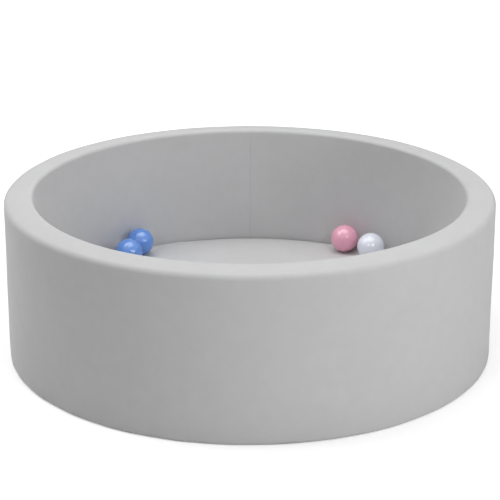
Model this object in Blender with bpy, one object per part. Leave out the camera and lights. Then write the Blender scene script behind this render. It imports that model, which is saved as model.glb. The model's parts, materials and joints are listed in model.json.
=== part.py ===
"""Round foam ball pit with a zipped cloth cover and four play balls.

The pit stands on z = 0 with its centre at the origin. Sizes are in metres, +Z is up, and the zip runs
round the back, which is +Y. Radii of turned pieces are measured to the corners of their facets.
"""

import math

import bmesh
import bpy
from mathutils import Matrix, Vector

# Whole pit, over its cloth
PIT_RADIUS = 0.450
PIT_HEIGHT = 0.305
WALL_THICKNESS = 0.053
RIM_OUTER_ROUND = 0.011
RIM_INNER_ROUND = 0.006
RIM_SLOPE_DEG = 9.5
BASE_ROUND = 0.007
RIM_OUTER_STEPS = 3
RIM_INNER_STEPS = 2
RIM_TOP_SHARES = (0.35, 0.7)
TURNED_STEPS = 48

# Cloth and the gaps between touching pieces
CLOTH = 0.0012
GAP = 0.0003
SLEEVE_TUCK_DEG = 75.0
MERGE_DISTANCE = 0.00001
SHARP_DEG = 40.0

# Floor cushion
FLOOR_HEIGHT = 0.072
FLOOR_CROWN = 0.004
FLOOR_EDGE_ROUND = 0.014
FLOOR_EDGE_STEPS = 3
FLOOR_FOOT_CHAMFER = 0.003
FLOOR_CROWN_REACH_SHARE = 0.75
FLOOR_CROWN_STATION_SHARES = (0.0, 0.3, 0.6, 0.85, 1.0)

# Balls
BALL_RADIUS = 0.0275
BALL_WALL = 0.0008
BALL_NEEDLE_RADIUS = 0.0006
BALL_TURN_STEPS = 24
BALL_OUTER_STEPS = 12
BALL_INNER_STEPS = 8
BLUE_BACK_BEARING_DEG = 127.2
BLUE_FRONT_INSET = 0.035
BLUE_BALLS_APART = 0.012
PINK_BEARING_DEG = 58.3
PINK_WHITE_APART = 0.0155
WHITE_INSET = 0.009

# Zip: where it runs, and its tapes and teeth
ZIP_HEIGHT = 0.022
ZIP_FIRST_DEG = 15.0
ZIP_LAST_DEG = 165.0
ZIP_STEPS = 60
ZIP_SLIT = 0.0016
ZIP_CLEARANCE = 0.0006
ZIP_POCKET_CLEARANCE = 0.001
TAPE_WIDTH = 0.012
TAPE_THICKNESS = 0.0005
TAPE_TAIL = 0.012
COIL_WIDTH = 0.0028
COIL_THICKNESS = 0.0021
STOP_LENGTH = 0.003
STOP_HUG = 0.0003

# Zip slider
SLIDER_LENGTH = 0.0115
SLIDER_PLATE = 0.001
SLIDER_LIP = 0.0008
SLIDER_LIP_LENGTH = 0.0075
SLIDER_POST_LENGTH = 0.003
SLIDER_POST_WIDTH = 0.001
SLIDER_CORNER = 0.0016
BRIDGE_LENGTH = 0.0088
BRIDGE_WIDTH = 0.0018
BRIDGE_THICKNESS = 0.0011
JOIN_OVERLAP = 0.0003

# Zip pull
PULL_LENGTH = 0.026
PULL_WIDTH = 0.0068
PULL_THICKNESS = 0.0012
PULL_HOLE_RADIUS = 0.0013
PULL_RUNNING_GAP = 0.0004
PULL_END_STEPS = 8
PULL_HOLE_STEPS = 12

# One overrun serves every cut
CUT_OVERRUN = 0.005


# Sizes that follow from the ones above

def facet_flat(radius, steps=TURNED_STEPS):
    """Distance from the axis to the middle of a facet whose corners are at radius."""
    return radius * math.cos(math.pi / steps)


INNER_RADIUS = PIT_RADIUS - WALL_THICKNESS
FOAM_INSET = CLOTH + GAP
FLOOR_FOAM_RADIUS = INNER_RADIUS + CLOTH
FLOOR_ROUND_RADIUS = FLOOR_FOAM_RADIUS - FLOOR_EDGE_ROUND
FLOOR_FOAM_TOP = FLOOR_HEIGHT - CLOTH - GAP
FLOOR_PANEL_RADIUS = INNER_RADIUS - GAP
BALL_REACH = facet_flat(INNER_RADIUS) - BALL_RADIUS - GAP

TAPE_OUTER = facet_flat(PIT_RADIUS - CLOTH) - GAP
TAPE_INNER = TAPE_OUTER - TAPE_THICKNESS
COIL_INNER = TAPE_OUTER + GAP
COIL_OUTER = COIL_INNER + COIL_THICKNESS
COIL_LOW = ZIP_SLIT / 2
COIL_HIGH = COIL_LOW + COIL_WIDTH
LIP_LOW = COIL_HIGH + ZIP_CLEARANCE
LIP_HIGH = LIP_LOW + SLIDER_LIP
SLOT_HALF = LIP_HIGH + ZIP_CLEARANCE
TAPE_HIGH = COIL_LOW + TAPE_WIDTH
POCKET_HALF = TAPE_HIGH + ZIP_POCKET_CLEARANCE

PLATE_INNER = max(COIL_OUTER, PIT_RADIUS) + ZIP_CLEARANCE
PLATE_OUTER = PLATE_INNER + SLIDER_PLATE
BACK_PLATE_OUTER = TAPE_INNER - ZIP_CLEARANCE
BACK_PLATE_INNER = BACK_PLATE_OUTER - SLIDER_PLATE
POCKET_RADIUS = BACK_PLATE_INNER - ZIP_CLEARANCE
PULL_SWEEP = math.hypot(PULL_THICKNESS, PULL_THICKNESS) / 2
PULL_AXIS_RADIUS = PLATE_OUTER + PULL_SWEEP + PULL_RUNNING_GAP
BRIDGE_UNDERSIDE = PULL_AXIS_RADIUS + PULL_SWEEP + PULL_RUNNING_GAP
BRIDGE_TOP = BRIDGE_UNDERSIDE + BRIDGE_THICKNESS
PULL_WINDOW_END = math.hypot(BRIDGE_LENGTH / 2, BRIDGE_TOP - PULL_AXIS_RADIUS) + PULL_RUNNING_GAP
PULL_WINDOW_HALF = BRIDGE_WIDTH / 2 + PULL_RUNNING_GAP


def arc_degrees(length):
    """Angle that a length takes up along the zip."""
    return math.degrees(length / PIT_RADIUS)


STOP_START_DEG = arc_degrees(GAP)
STOP_END_DEG = arc_degrees(GAP + STOP_LENGTH)
SLOT_TAIL_DEG = STOP_END_DEG + arc_degrees(ZIP_CLEARANCE)
TAPE_TAIL_DEG = arc_degrees(TAPE_TAIL)
POCKET_TAIL_DEG = TAPE_TAIL_DEG + arc_degrees(ZIP_POCKET_CLEARANCE)
SLIDER_REST_DEG = ZIP_FIRST_DEG + arc_degrees(SLIDER_LENGTH / 2 + ZIP_CLEARANCE)

# Colours, as linear red, green and blue
CLOTH_GREY = (0.60, 0.60, 0.605)
UNDERSIDE_GREY = (0.20, 0.20, 0.205)
FOAM_CREAM = (0.80, 0.76, 0.64)
TAPE_GREY = (0.50, 0.50, 0.505)
TEETH_GREY = (0.44, 0.44, 0.445)
ZIP_METAL = (0.50, 0.50, 0.51)
BALL_BLUE = (0.14, 0.30, 0.75)
BALL_PINK = (0.75, 0.30, 0.45)
BALL_WHITE = (0.70, 0.73, 0.88)


# Scene helpers

def clear_scene():
    """Remove every object that the file holds."""
    for item in list(bpy.data.objects):
        bpy.data.objects.remove(item, do_unlink=True)


def make_material(name, colour, roughness, metallic=0.0):
    """A plain Principled material."""
    material = bpy.data.materials.new(name)
    material.use_nodes = True
    shader = material.node_tree.nodes["Principled BSDF"]
    shader.inputs["Base Color"].default_value = (*colour, 1.0)
    shader.inputs["Roughness"].default_value = roughness
    shader.inputs["Metallic"].default_value = metallic
    return material


def add_object(name, shape, material=None, smooth=True):
    """Turn a bmesh into a named object with its faces pointing out."""
    bmesh.ops.recalc_face_normals(shape, faces=shape.faces)
    mesh = bpy.data.meshes.new(name)
    shape.to_mesh(mesh)
    shape.free()
    if smooth:
        mesh.shade_smooth()
        mesh.set_sharp_from_angle(angle=math.radians(SHARP_DEG))
    item = bpy.data.objects.new(name, mesh)
    bpy.context.scene.collection.objects.link(item)
    if material is not None:
        mesh.materials.append(material)
    return item


def add_tool(name, shape):
    """A shape that cuts or joins another and isn't a piece itself."""
    item = add_object(name, shape, smooth=False)
    item.hide_render = True
    item.display_type = 'WIRE'
    return item


def combine(target, tool, operation):
    """Cut a tool from a piece, or join it on."""
    modifier = target.modifiers.new(tool.name, 'BOOLEAN')
    modifier.object = tool
    modifier.operation = operation
    modifier.solver = 'EXACT'


# Shape helpers

def spread(first, last, steps):
    """Evenly spaced values from first to last."""
    return [first + (last - first) * step / steps for step in range(steps + 1)]


def arc(centre, radius, angles_deg):
    """Points at the given angles on an arc of a profile, as (radius, height) pairs."""
    return [(centre[0] + radius * math.cos(math.radians(angle)),
             centre[1] + radius * math.sin(math.radians(angle))) for angle in angles_deg]


def turned(outline, closed, start_deg=0.0, sweep_deg=360.0, steps=TURNED_STEPS):
    """Spin an outline of (radius, height) points about Z; a part turn gets flat ends."""
    shape = bmesh.new()
    start = Matrix.Rotation(math.radians(start_deg), 3, 'Z')
    corners = [shape.verts.new(start @ Vector((radius, 0.0, height))) for radius, height in outline]
    sides = [shape.edges.new(pair) for pair in zip(corners, corners[1:])]
    if closed:
        sides.append(shape.edges.new((corners[-1], corners[0])))
    whole = math.isclose(sweep_deg, 360.0)
    bmesh.ops.spin(shape, geom=corners + sides, cent=(0.0, 0.0, 0.0), axis=(0.0, 0.0, 1.0),
                   angle=math.radians(sweep_deg), steps=steps, use_merge=whole)
    bmesh.ops.remove_doubles(shape, verts=shape.verts, dist=MERGE_DISTANCE)
    close_ends(shape)
    return shape


def close_ends(shape):
    """Fill each open rim with a flat face."""
    rims = [edge for edge in shape.edges if edge.is_boundary]
    if rims:
        bmesh.ops.holes_fill(shape, edges=rims)


def block(low, high):
    """A box between two corners."""
    shape = bmesh.new()
    centre = (Vector(low) + Vector(high)) / 2
    size = Vector(high) - Vector(low)
    matrix = Matrix.Translation(centre) @ Matrix.Diagonal((*size, 1.0))
    bmesh.ops.create_cube(shape, size=1.0, matrix=matrix)
    return shape


def plate(outline, low, high, across):
    """Extrude an outline; across maps (first, second, depth) to a point."""
    shape = bmesh.new()
    corners = [shape.verts.new(across(first, second, low)) for first, second in outline]
    face = shape.faces.new(corners)
    raised = bmesh.ops.extrude_face_region(shape, geom=[face])["geom"]
    moved = [item for item in raised if isinstance(item, bmesh.types.BMVert)]
    offset = Vector(across(0.0, 0.0, high)) - Vector(across(0.0, 0.0, low))
    bmesh.ops.translate(shape, verts=moved, vec=offset)
    return shape


# Wall and cloth

def base_arc(inset, angles_deg):
    """The round where the wall meets the ground."""
    return arc((PIT_RADIUS - BASE_ROUND, BASE_ROUND), BASE_ROUND - inset, angles_deg)


def rim_top(start, rise, reach, share, inset):
    """A point on the rim's top, whose slope eases off from the outer round to the inner one."""
    lean = math.atan(math.tan(math.radians(RIM_SLOPE_DEG)) * (1.0 - share))
    height = start[1] + rise * (1.0 - (1.0 - share) ** 2)
    return start[0] - reach * share - inset * math.sin(lean), height - inset * math.cos(lean)


def rim_path(inset):
    """The rim from the outer wall over its top, which falls towards the outside, to the inner wall."""
    slope = math.radians(RIM_SLOPE_DEG)
    inner_centre = (INNER_RADIUS + RIM_INNER_ROUND, PIT_HEIGHT - RIM_INNER_ROUND)
    start_radius = PIT_RADIUS - RIM_OUTER_ROUND + RIM_OUTER_ROUND * math.sin(slope)
    reach = start_radius - inner_centre[0]
    rise = reach * math.tan(slope) / 2
    outer_centre = (PIT_RADIUS - RIM_OUTER_ROUND, PIT_HEIGHT - rise - RIM_OUTER_ROUND * math.cos(slope))
    outer = arc(outer_centre, RIM_OUTER_ROUND - inset, spread(0.0, 90.0 - RIM_SLOPE_DEG, RIM_OUTER_STEPS))
    top = [rim_top((start_radius, PIT_HEIGHT - rise), rise, reach, share, inset) for share in RIM_TOP_SHARES]
    inner = arc(inner_centre, RIM_INNER_ROUND - inset, spread(90.0, 180.0, RIM_INNER_STEPS))
    return outer + top + inner


def sleeve_side(inset, foot):
    """One side of the wall cloth, from its tucked lower edge to the floor seam."""
    tuck = (-SLEEVE_TUCK_DEG, -SLEEVE_TUCK_DEG / 2, 0.0)
    return base_arc(inset, tuck) + rim_path(inset) + [(INNER_RADIUS + inset, foot)]


def make_wall_foam(name, first_deg, pocket, material):
    """Half of the foam ring, from one butt joint to the other."""
    joint = math.degrees(GAP / PIT_RADIUS)
    angles = (-90.0, -SLEEVE_TUCK_DEG, -SLEEVE_TUCK_DEG / 2, 0.0)
    outline = base_arc(FOAM_INSET, angles) + rim_path(FOAM_INSET) + [(INNER_RADIUS + FOAM_INSET, FOAM_INSET)]
    shape = turned(outline, True, first_deg + joint / 2, 180.0 - joint, TURNED_STEPS // 2)
    item = add_object(name, shape, material)
    combine(item, pocket, 'DIFFERENCE')
    return item


def make_zip_pocket():
    """The recess in the foam behind the zip."""
    outline = ring_section(POCKET_RADIUS, PIT_RADIUS + CUT_OVERRUN,
                           ZIP_HEIGHT - POCKET_HALF, ZIP_HEIGHT + POCKET_HALF)
    return add_tool("zip_pocket_cutter", zip_sector(outline, POCKET_TAIL_DEG))


def make_wall_sleeve(material):
    """The cloth of the wall in one strip, with the slot that the zip closes."""
    foot = floor_edge(CLOTH + GAP)[-1][1] - CLOTH
    outline = sleeve_side(0.0, foot) + list(reversed(sleeve_side(CLOTH, foot)))
    item = add_object("cover_wall_sleeve", turned(outline, True), material)
    slot = ring_section(PIT_RADIUS - CLOTH - CUT_OVERRUN, PIT_RADIUS + CUT_OVERRUN,
                        ZIP_HEIGHT - SLOT_HALF, ZIP_HEIGHT + SLOT_HALF)
    combine(item, add_tool("zip_slot_cutter", zip_sector(slot, SLOT_TAIL_DEG)), 'DIFFERENCE')
    return item


# Floor and underside

def floor_seam_deg():
    """Where on the cushion's rounded edge the floor cloth meets the wall cloth."""
    reach = FLOOR_EDGE_ROUND + CLOTH + GAP
    return math.degrees(math.acos((FLOOR_PANEL_RADIUS - FLOOR_ROUND_RADIUS) / reach))


def floor_round(offset, angles_deg):
    """Points on the cushion's rounded edge, offset outwards from its foam."""
    return arc((FLOOR_ROUND_RADIUS, FLOOR_FOAM_TOP - FLOOR_EDGE_ROUND), FLOOR_EDGE_ROUND + offset, angles_deg)


def floor_edge(offset):
    """The rounded edge from the flat band down to the floor seam."""
    return floor_round(offset, spread(90.0, floor_seam_deg(), FLOOR_EDGE_STEPS))


def floor_crown(height):
    """The cushion's crowned middle, from its centre to the flat band by the wall."""
    reach = FLOOR_ROUND_RADIUS * FLOOR_CROWN_REACH_SHARE
    return [(share * reach, height + FLOOR_CROWN * (1.0 - share ** 2) ** 2)
            for share in FLOOR_CROWN_STATION_SHARES]


def make_floor_foam(material):
    """The round foam cushion inside the ring."""
    below_seam = floor_round(0.0, (floor_seam_deg() / 2, 0.0))
    foot = [(FLOOR_FOAM_RADIUS, FOAM_INSET + FLOOR_FOOT_CHAMFER),
            (FLOOR_FOAM_RADIUS - FLOOR_FOOT_CHAMFER, FOAM_INSET), (0.0, FOAM_INSET)]
    outline = floor_crown(FLOOR_FOAM_TOP) + floor_edge(0.0) + below_seam + foot
    return add_object("floor_foam", turned(outline, False), material)


def make_floor_panel(material):
    """The cloth over the floor cushion, sewn to the wall cloth at its rim."""
    top = floor_crown(FLOOR_HEIGHT) + floor_edge(CLOTH + GAP)
    underneath = floor_crown(FLOOR_HEIGHT - CLOTH) + floor_edge(GAP)
    return add_object("cover_floor_panel", turned(top + list(reversed(underneath)), False), material)


def make_underside_panel(material):
    """The cloth disc that the pit stands on."""
    rim = base_arc(CLOTH, (-SLEEVE_TUCK_DEG,))[0][0] - GAP
    outline = [(0.0, CLOTH), (rim, CLOTH), (rim, 0.0), (0.0, 0.0)]
    return add_object("cover_underside_panel", turned(outline, False), material)


# Zip

def ring_section(inner, outer, low, high):
    """A rectangular section for a ring about Z."""
    return [(outer, low), (outer, high), (inner, high), (inner, low)]


def zip_sector(outline, tail_deg):
    """A section swept along the zip, with a tail past each end."""
    start = ZIP_FIRST_DEG - tail_deg
    return turned(outline, True, start, ZIP_LAST_DEG + tail_deg - start, ZIP_STEPS)


def zip_strip(name, side, inner, outer, near, far, tail_deg, material):
    """A tape or a row of teeth above (side 1) or below (side -1) the zip's slit."""
    low, high = sorted((ZIP_HEIGHT + side * near, ZIP_HEIGHT + side * far))
    return add_object(name, zip_sector(ring_section(inner, outer, low, high), tail_deg), material)


def zip_stop(name, start_deg, low, high, material):
    """A stop clamped at the end of the teeth."""
    outline = ring_section(COIL_INNER, COIL_OUTER + STOP_HUG, ZIP_HEIGHT + low, ZIP_HEIGHT + high)
    return add_object(name, turned(outline, True, start_deg, STOP_END_DEG - STOP_START_DEG, 1), material)


def make_zip_strips(tape, teeth, metal):
    """Both tapes, both rows of teeth and the stops."""
    for side, label in ((1, "upper"), (-1, "lower")):
        zip_strip("zip_tape_" + label, side, TAPE_INNER, TAPE_OUTER, COIL_LOW, TAPE_HIGH, TAPE_TAIL_DEG, tape)
        zip_strip("zip_coil_" + label, side, COIL_INNER, COIL_OUTER, COIL_LOW, COIL_HIGH, 0.0, teeth)
        low, high = sorted((side * COIL_LOW, side * COIL_HIGH))
        zip_stop("zip_top_stop_" + label, ZIP_FIRST_DEG - STOP_END_DEG, low, high, metal)
    zip_stop("zip_bottom_stop", ZIP_LAST_DEG + STOP_START_DEG, -COIL_HIGH, COIL_HIGH, metal)


def bridge_outline():
    """The slider's bridge from the side, as (along the zip, distance from the pit's axis)."""
    half = BRIDGE_LENGTH / 2
    foot = PLATE_OUTER - JOIN_OVERLAP
    corner = BRIDGE_THICKNESS / 2
    return [(-half, foot), (-half, BRIDGE_TOP - corner), (corner - half, BRIDGE_TOP),
            (half - corner, BRIDGE_TOP), (half, BRIDGE_TOP - corner), (half, foot),
            (half - BRIDGE_THICKNESS, foot), (half - BRIDGE_THICKNESS, BRIDGE_UNDERSIDE),
            (BRIDGE_THICKNESS - half, BRIDGE_UNDERSIDE), (BRIDGE_THICKNESS - half, foot)]


def make_slider(material):
    """The slider: two plates, the post between the teeth, two lips and the bridge for the pull."""
    half = SLIDER_LENGTH / 2
    body = block((PLATE_INNER, -half, -LIP_HIGH), (PLATE_OUTER, half, LIP_HIGH))
    upright = [edge for edge in body.edges if abs(edge.verts[0].co.x - edge.verts[1].co.x) > GAP]
    bmesh.ops.bevel(body, geom=upright, offset=SLIDER_CORNER, segments=2, profile=0.5, affect='EDGES')
    item = add_object("zip_slider", body, material)
    join_slider_parts(item)
    item.location = (0.0, 0.0, ZIP_HEIGHT)
    item.rotation_euler = (0.0, 0.0, math.radians(SLIDER_REST_DEG))
    return item


def join_slider_parts(item):
    """Join the back plate, post, lips and bridge to the slider's front plate."""
    half = SLIDER_LENGTH / 2
    post = SLIDER_POST_LENGTH / 2
    post_side = SLIDER_POST_WIDTH / 2
    lip = SLIDER_LIP_LENGTH / 2
    lip_foot = TAPE_OUTER + ZIP_CLEARANCE
    lap = JOIN_OVERLAP
    parts = {
        "slider_back_plate": block((BACK_PLATE_INNER, -half, -LIP_HIGH), (BACK_PLATE_OUTER, half, LIP_HIGH)),
        "slider_post": block((BACK_PLATE_OUTER - lap, -post, -post_side),
                             (PLATE_INNER + lap, post, post_side)),
        "slider_lip_upper": block((lip_foot, -lip, LIP_LOW), (PLATE_INNER + lap, lip, LIP_HIGH - lap)),
        "slider_lip_lower": block((lip_foot, -lip, lap - LIP_HIGH), (PLATE_INNER + lap, lip, -LIP_LOW)),
        "slider_bridge": plate(bridge_outline(), -BRIDGE_WIDTH / 2, BRIDGE_WIDTH / 2,
                               lambda along, out, up: (out, along, up)),
    }
    for name, shape in parts.items():
        tool = add_tool(name, shape)
        tool.parent = item
        combine(item, tool, 'UNION')


def pull_outline():
    """The tab from its square end bar to its round end, as (along the tab, across it)."""
    half = PULL_WIDTH / 2
    turns = spread(0.0, math.pi, PULL_END_STEPS)
    end = [(PULL_LENGTH - half + half * math.sin(turn), half * math.cos(turn)) for turn in turns]
    return [(-PULL_THICKNESS / 2, -half), (-PULL_THICKNESS / 2, half)] + end


def pull_hole():
    """The cutter of the round hole near the tab's end."""
    shape = bmesh.new()
    place = Matrix.Translation((0.0, PULL_LENGTH - PULL_WIDTH / 2, 0.0))
    bmesh.ops.create_cone(shape, cap_ends=True, segments=PULL_HOLE_STEPS, radius1=PULL_HOLE_RADIUS,
                          radius2=PULL_HOLE_RADIUS, depth=2 * CUT_OVERRUN,
                          matrix=place @ Matrix.Rotation(math.pi / 2, 4, 'Y'))
    return shape


def make_pull(slider, material):
    """The pull tab: its end bar runs under the bridge, and it lies along the closed teeth."""
    bar = PULL_THICKNESS / 2
    item = add_object("zip_pull", plate(pull_outline(), -bar, bar, lambda along, up, out: (out, along, up)),
                      material)
    window = block((-CUT_OVERRUN, bar, -PULL_WINDOW_HALF), (CUT_OVERRUN, PULL_WINDOW_END, PULL_WINDOW_HALF))
    for name, shape in (("pull_window_cutter", window), ("pull_hole_cutter", pull_hole())):
        tool = add_tool(name, shape)
        tool.parent = item
        combine(item, tool, 'DIFFERENCE')
    item.parent = slider
    item.location = (PULL_AXIS_RADIUS, 0.0, 0.0)
    return item


# Balls

def ball_shell():
    """A thin hollow ball with its needle hole at the bottom."""
    paths = []
    for radius, steps in ((BALL_RADIUS, BALL_OUTER_STEPS), (BALL_RADIUS - BALL_WALL, BALL_INNER_STEPS)):
        hole = math.degrees(math.asin(BALL_NEEDLE_RADIUS / radius)) - 90.0
        paths.append(arc((0.0, 0.0), radius, spread(90.0, hole, steps)))
    outer, inner = paths
    return turned(outer + list(reversed(inner)), False, steps=BALL_TURN_STEPS)


def beside(bearing, radius, other_radius, apart):
    """Bearing at other_radius whose place lies a distance apart from the place at bearing and radius."""
    cosine = (radius ** 2 + other_radius ** 2 - apart ** 2) / (2 * radius * other_radius)
    return bearing + math.acos(cosine)


def ball_places():
    """Each ball's bearing and distance from the pit's axis; two of them lie against the wall."""
    blue_back = math.radians(BLUE_BACK_BEARING_DEG)
    pink = math.radians(PINK_BEARING_DEG)
    front_reach = BALL_REACH - BLUE_FRONT_INSET
    white_reach = BALL_REACH - WHITE_INSET
    blue_front = beside(blue_back, BALL_REACH, front_reach, 2 * BALL_RADIUS + BLUE_BALLS_APART)
    white = 2 * pink - beside(pink, BALL_REACH, white_reach, 2 * BALL_RADIUS + PINK_WHITE_APART)
    return {
        "ball_blue_back": (blue_back, BALL_REACH),
        "ball_blue_front": (blue_front, front_reach),
        "ball_pink": (pink, BALL_REACH),
        "ball_white": (white, white_reach),
    }


def make_ball(name, place, material):
    """One ball on the floor cushion."""
    bearing, reach = place
    item = add_object(name, ball_shell(), material)
    item.location = (reach * math.cos(bearing), reach * math.sin(bearing), FLOOR_HEIGHT + BALL_RADIUS + GAP)
    return item


# Assembly

def build_pit():
    """Make every piece of the pit."""
    clear_scene()
    cloth = make_material("cover_cloth", CLOTH_GREY, 0.9)
    foam = make_material("foam", FOAM_CREAM, 0.95)
    metal = make_material("zip_metal", ZIP_METAL, 0.35, 1.0)
    pocket = make_zip_pocket()
    make_wall_foam("wall_foam_right", -90.0, pocket, foam)
    make_wall_foam("wall_foam_left", 90.0, pocket, foam)
    make_floor_foam(foam)
    make_wall_sleeve(cloth)
    make_floor_panel(cloth)
    make_underside_panel(make_material("underside_cloth", UNDERSIDE_GREY, 0.9))
    tape = make_material("zip_tape", TAPE_GREY, 0.85)
    teeth = make_material("zip_teeth", TEETH_GREY, 0.5)
    make_zip_strips(tape, teeth, metal)
    make_pull(make_slider(metal), metal)
    finishes = {
        "ball_blue_back": make_material("blue_plastic", BALL_BLUE, 0.25),
        "ball_blue_front": bpy.data.materials["blue_plastic"],
        "ball_pink": make_material("pink_plastic", BALL_PINK, 0.25),
        "ball_white": make_material("white_plastic", BALL_WHITE, 0.25),
    }
    for name, place in ball_places().items():
        make_ball(name, place, finishes[name])


build_pit()
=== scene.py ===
"""Looks of a round foam ball pit: its cloth cover, zip, foam and four play balls.

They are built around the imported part. Lengths are in metres in the part's own frame: the pit stands on z = 0
with its centre at the origin, +Z is up and the zip runs round the back, which is +Y. Bearings are in radians
about +Z, from +X.
"""

import json
import logging
import math
from abc import ABC, abstractmethod
from dataclasses import dataclass, field
from enum import Enum
from typing import Any, Optional, Sequence, Union

import bmesh
import bpy
import numpy as np
from mathutils import Matrix, Vector, geometry


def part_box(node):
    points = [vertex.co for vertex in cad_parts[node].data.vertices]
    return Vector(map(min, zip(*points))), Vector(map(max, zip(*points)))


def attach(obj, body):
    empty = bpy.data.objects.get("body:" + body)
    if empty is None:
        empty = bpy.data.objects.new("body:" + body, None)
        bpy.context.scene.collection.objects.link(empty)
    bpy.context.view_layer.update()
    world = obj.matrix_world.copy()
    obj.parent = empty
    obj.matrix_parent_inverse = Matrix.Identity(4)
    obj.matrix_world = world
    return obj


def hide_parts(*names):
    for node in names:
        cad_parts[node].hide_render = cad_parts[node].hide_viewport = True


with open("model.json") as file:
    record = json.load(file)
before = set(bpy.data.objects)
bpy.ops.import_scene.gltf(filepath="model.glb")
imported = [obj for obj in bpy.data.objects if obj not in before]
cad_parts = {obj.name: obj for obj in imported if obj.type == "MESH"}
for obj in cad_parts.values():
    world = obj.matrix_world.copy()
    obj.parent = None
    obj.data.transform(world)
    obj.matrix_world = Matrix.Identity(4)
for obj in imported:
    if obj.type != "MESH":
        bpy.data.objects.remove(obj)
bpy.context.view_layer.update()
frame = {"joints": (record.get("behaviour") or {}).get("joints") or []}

FLAT_MAP = "flat"
LOG = logging.getLogger("ball_pit")
WHOLE_TURN = 2.0 * math.pi
WHITE = (1.0, 1.0, 1.0, 1.0)

Place = tuple[float, float, float]
Colour = tuple[float, float, float]
Outline = list[tuple[float, float]]
Faces = list[Sequence[int]]
Shape = tuple[np.ndarray, Faces]
Row = tuple[float, float, float, float]
Operand = Union["Signal", float]


# Sizes shared by several pieces

PIT_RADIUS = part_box("cover_wall_sleeve")[1].x
PIT_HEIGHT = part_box("cover_wall_sleeve")[1].z
WALL_THICKNESS = 0.053
INNER_RADIUS = PIT_RADIUS - WALL_THICKNESS
CLOTH = 0.0012
FOAM_GAP = 0.0003
FOAM_INSET = CLOTH + FOAM_GAP
BACK = math.radians(90.0)
ZIP_HEIGHT = 0.022
ZIP_FIRST = math.radians(15.0)
ZIP_LAST = math.radians(165.0)
SLOT_END = 0.0039
SLOT_FIRST = ZIP_FIRST - SLOT_END / PIT_RADIUS
SLOT_LAST = ZIP_LAST + SLOT_END / PIT_RADIUS
SLOT_HALF = 0.0056
STITCH_AWAY = 0.0025
BALL_RADIUS = 0.0275
NEARLY = 0.0001


class ZipSide(Enum):
    """The two sides of the zip."""

    UPPER = 1
    LOWER = -1

    @property
    def label(self) -> str:
        """The side's name in piece names."""
        return self.name.lower()


# Shader building

class Signal:
    """A shader socket whose arithmetic adds Math nodes."""

    def __init__(self, tree: "NodeTree", socket: bpy.types.NodeSocket) -> None:
        """Keep a socket with the tree that it belongs to."""
        self.tree = tree
        self.socket = socket

    def _maths(self, operation: str, first: Operand, second: Operand) -> "Signal":
        """Add a Math node for two signals or numbers."""
        return self.tree.node("ShaderNodeMath", {"operation": operation}, {0: first, 1: second})

    def __add__(self, other: Operand) -> "Signal":
        """This value plus another."""
        return self._maths("ADD", self, other)

    def __radd__(self, other: Operand) -> "Signal":
        """Another value plus this one."""
        return self._maths("ADD", other, self)

    def __sub__(self, other: Operand) -> "Signal":
        """This value less another."""
        return self._maths("SUBTRACT", self, other)

    def __rsub__(self, other: Operand) -> "Signal":
        """Another value less this one."""
        return self._maths("SUBTRACT", other, self)

    def __mul__(self, other: Operand) -> "Signal":
        """This value times another."""
        return self._maths("MULTIPLY", self, other)

    def __rmul__(self, other: Operand) -> "Signal":
        """Another value times this one."""
        return self._maths("MULTIPLY", other, self)

    def at_least(self, other: Operand) -> "Signal":
        """The larger of this value and another."""
        return self._maths("MAXIMUM", self, other)


class NodeTree:
    """A tree of shader nodes."""

    def __init__(self, tree: bpy.types.NodeTree) -> None:
        """Keep the tree."""
        self.tree = tree

    def node(self, kind: str, settings: Optional[dict[str, Any]] = None,
             inputs: Optional[dict[Union[int, str], Any]] = None, output: Union[int, str] = 0) -> Signal:
        """Add a node.

        Args:
            kind: The node's type.
            settings: Its own settings, set first; "stops" fills a colour ramp.
            inputs: Values or signals for its sockets, by name or number.
            output: The socket that is wanted, by name or number.

        Returns:
            That output as a signal.
        """
        made = self.tree.nodes.new(kind)
        for name, value in (settings or {}).items():
            if name == "stops":
                self._fill_ramp(made.color_ramp, value)
            else:
                setattr(made, name, value)
        for name, value in (inputs or {}).items():
            self.feed(made.inputs[name], value)
        return Signal(self, made.outputs[output])

    def _fill_ramp(self, ramp: bpy.types.ColorRamp, stops: Sequence[tuple[float, float]]) -> None:
        """Set a ramp's two grey stops, given as (place, level)."""
        for element, (place, level) in zip(ramp.elements, stops):
            set_all(element, position=place, color=(level, level, level, 1.0))

    def feed(self, socket: bpy.types.NodeSocket, value: Any) -> None:
        """Link a signal to a socket, or set its value.

        Args:
            socket: The socket.
            value: A signal or a plain value.
        """
        if isinstance(value, Signal):
            self.tree.links.new(value.socket, socket)
        else:
            socket.default_value = value


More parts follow.
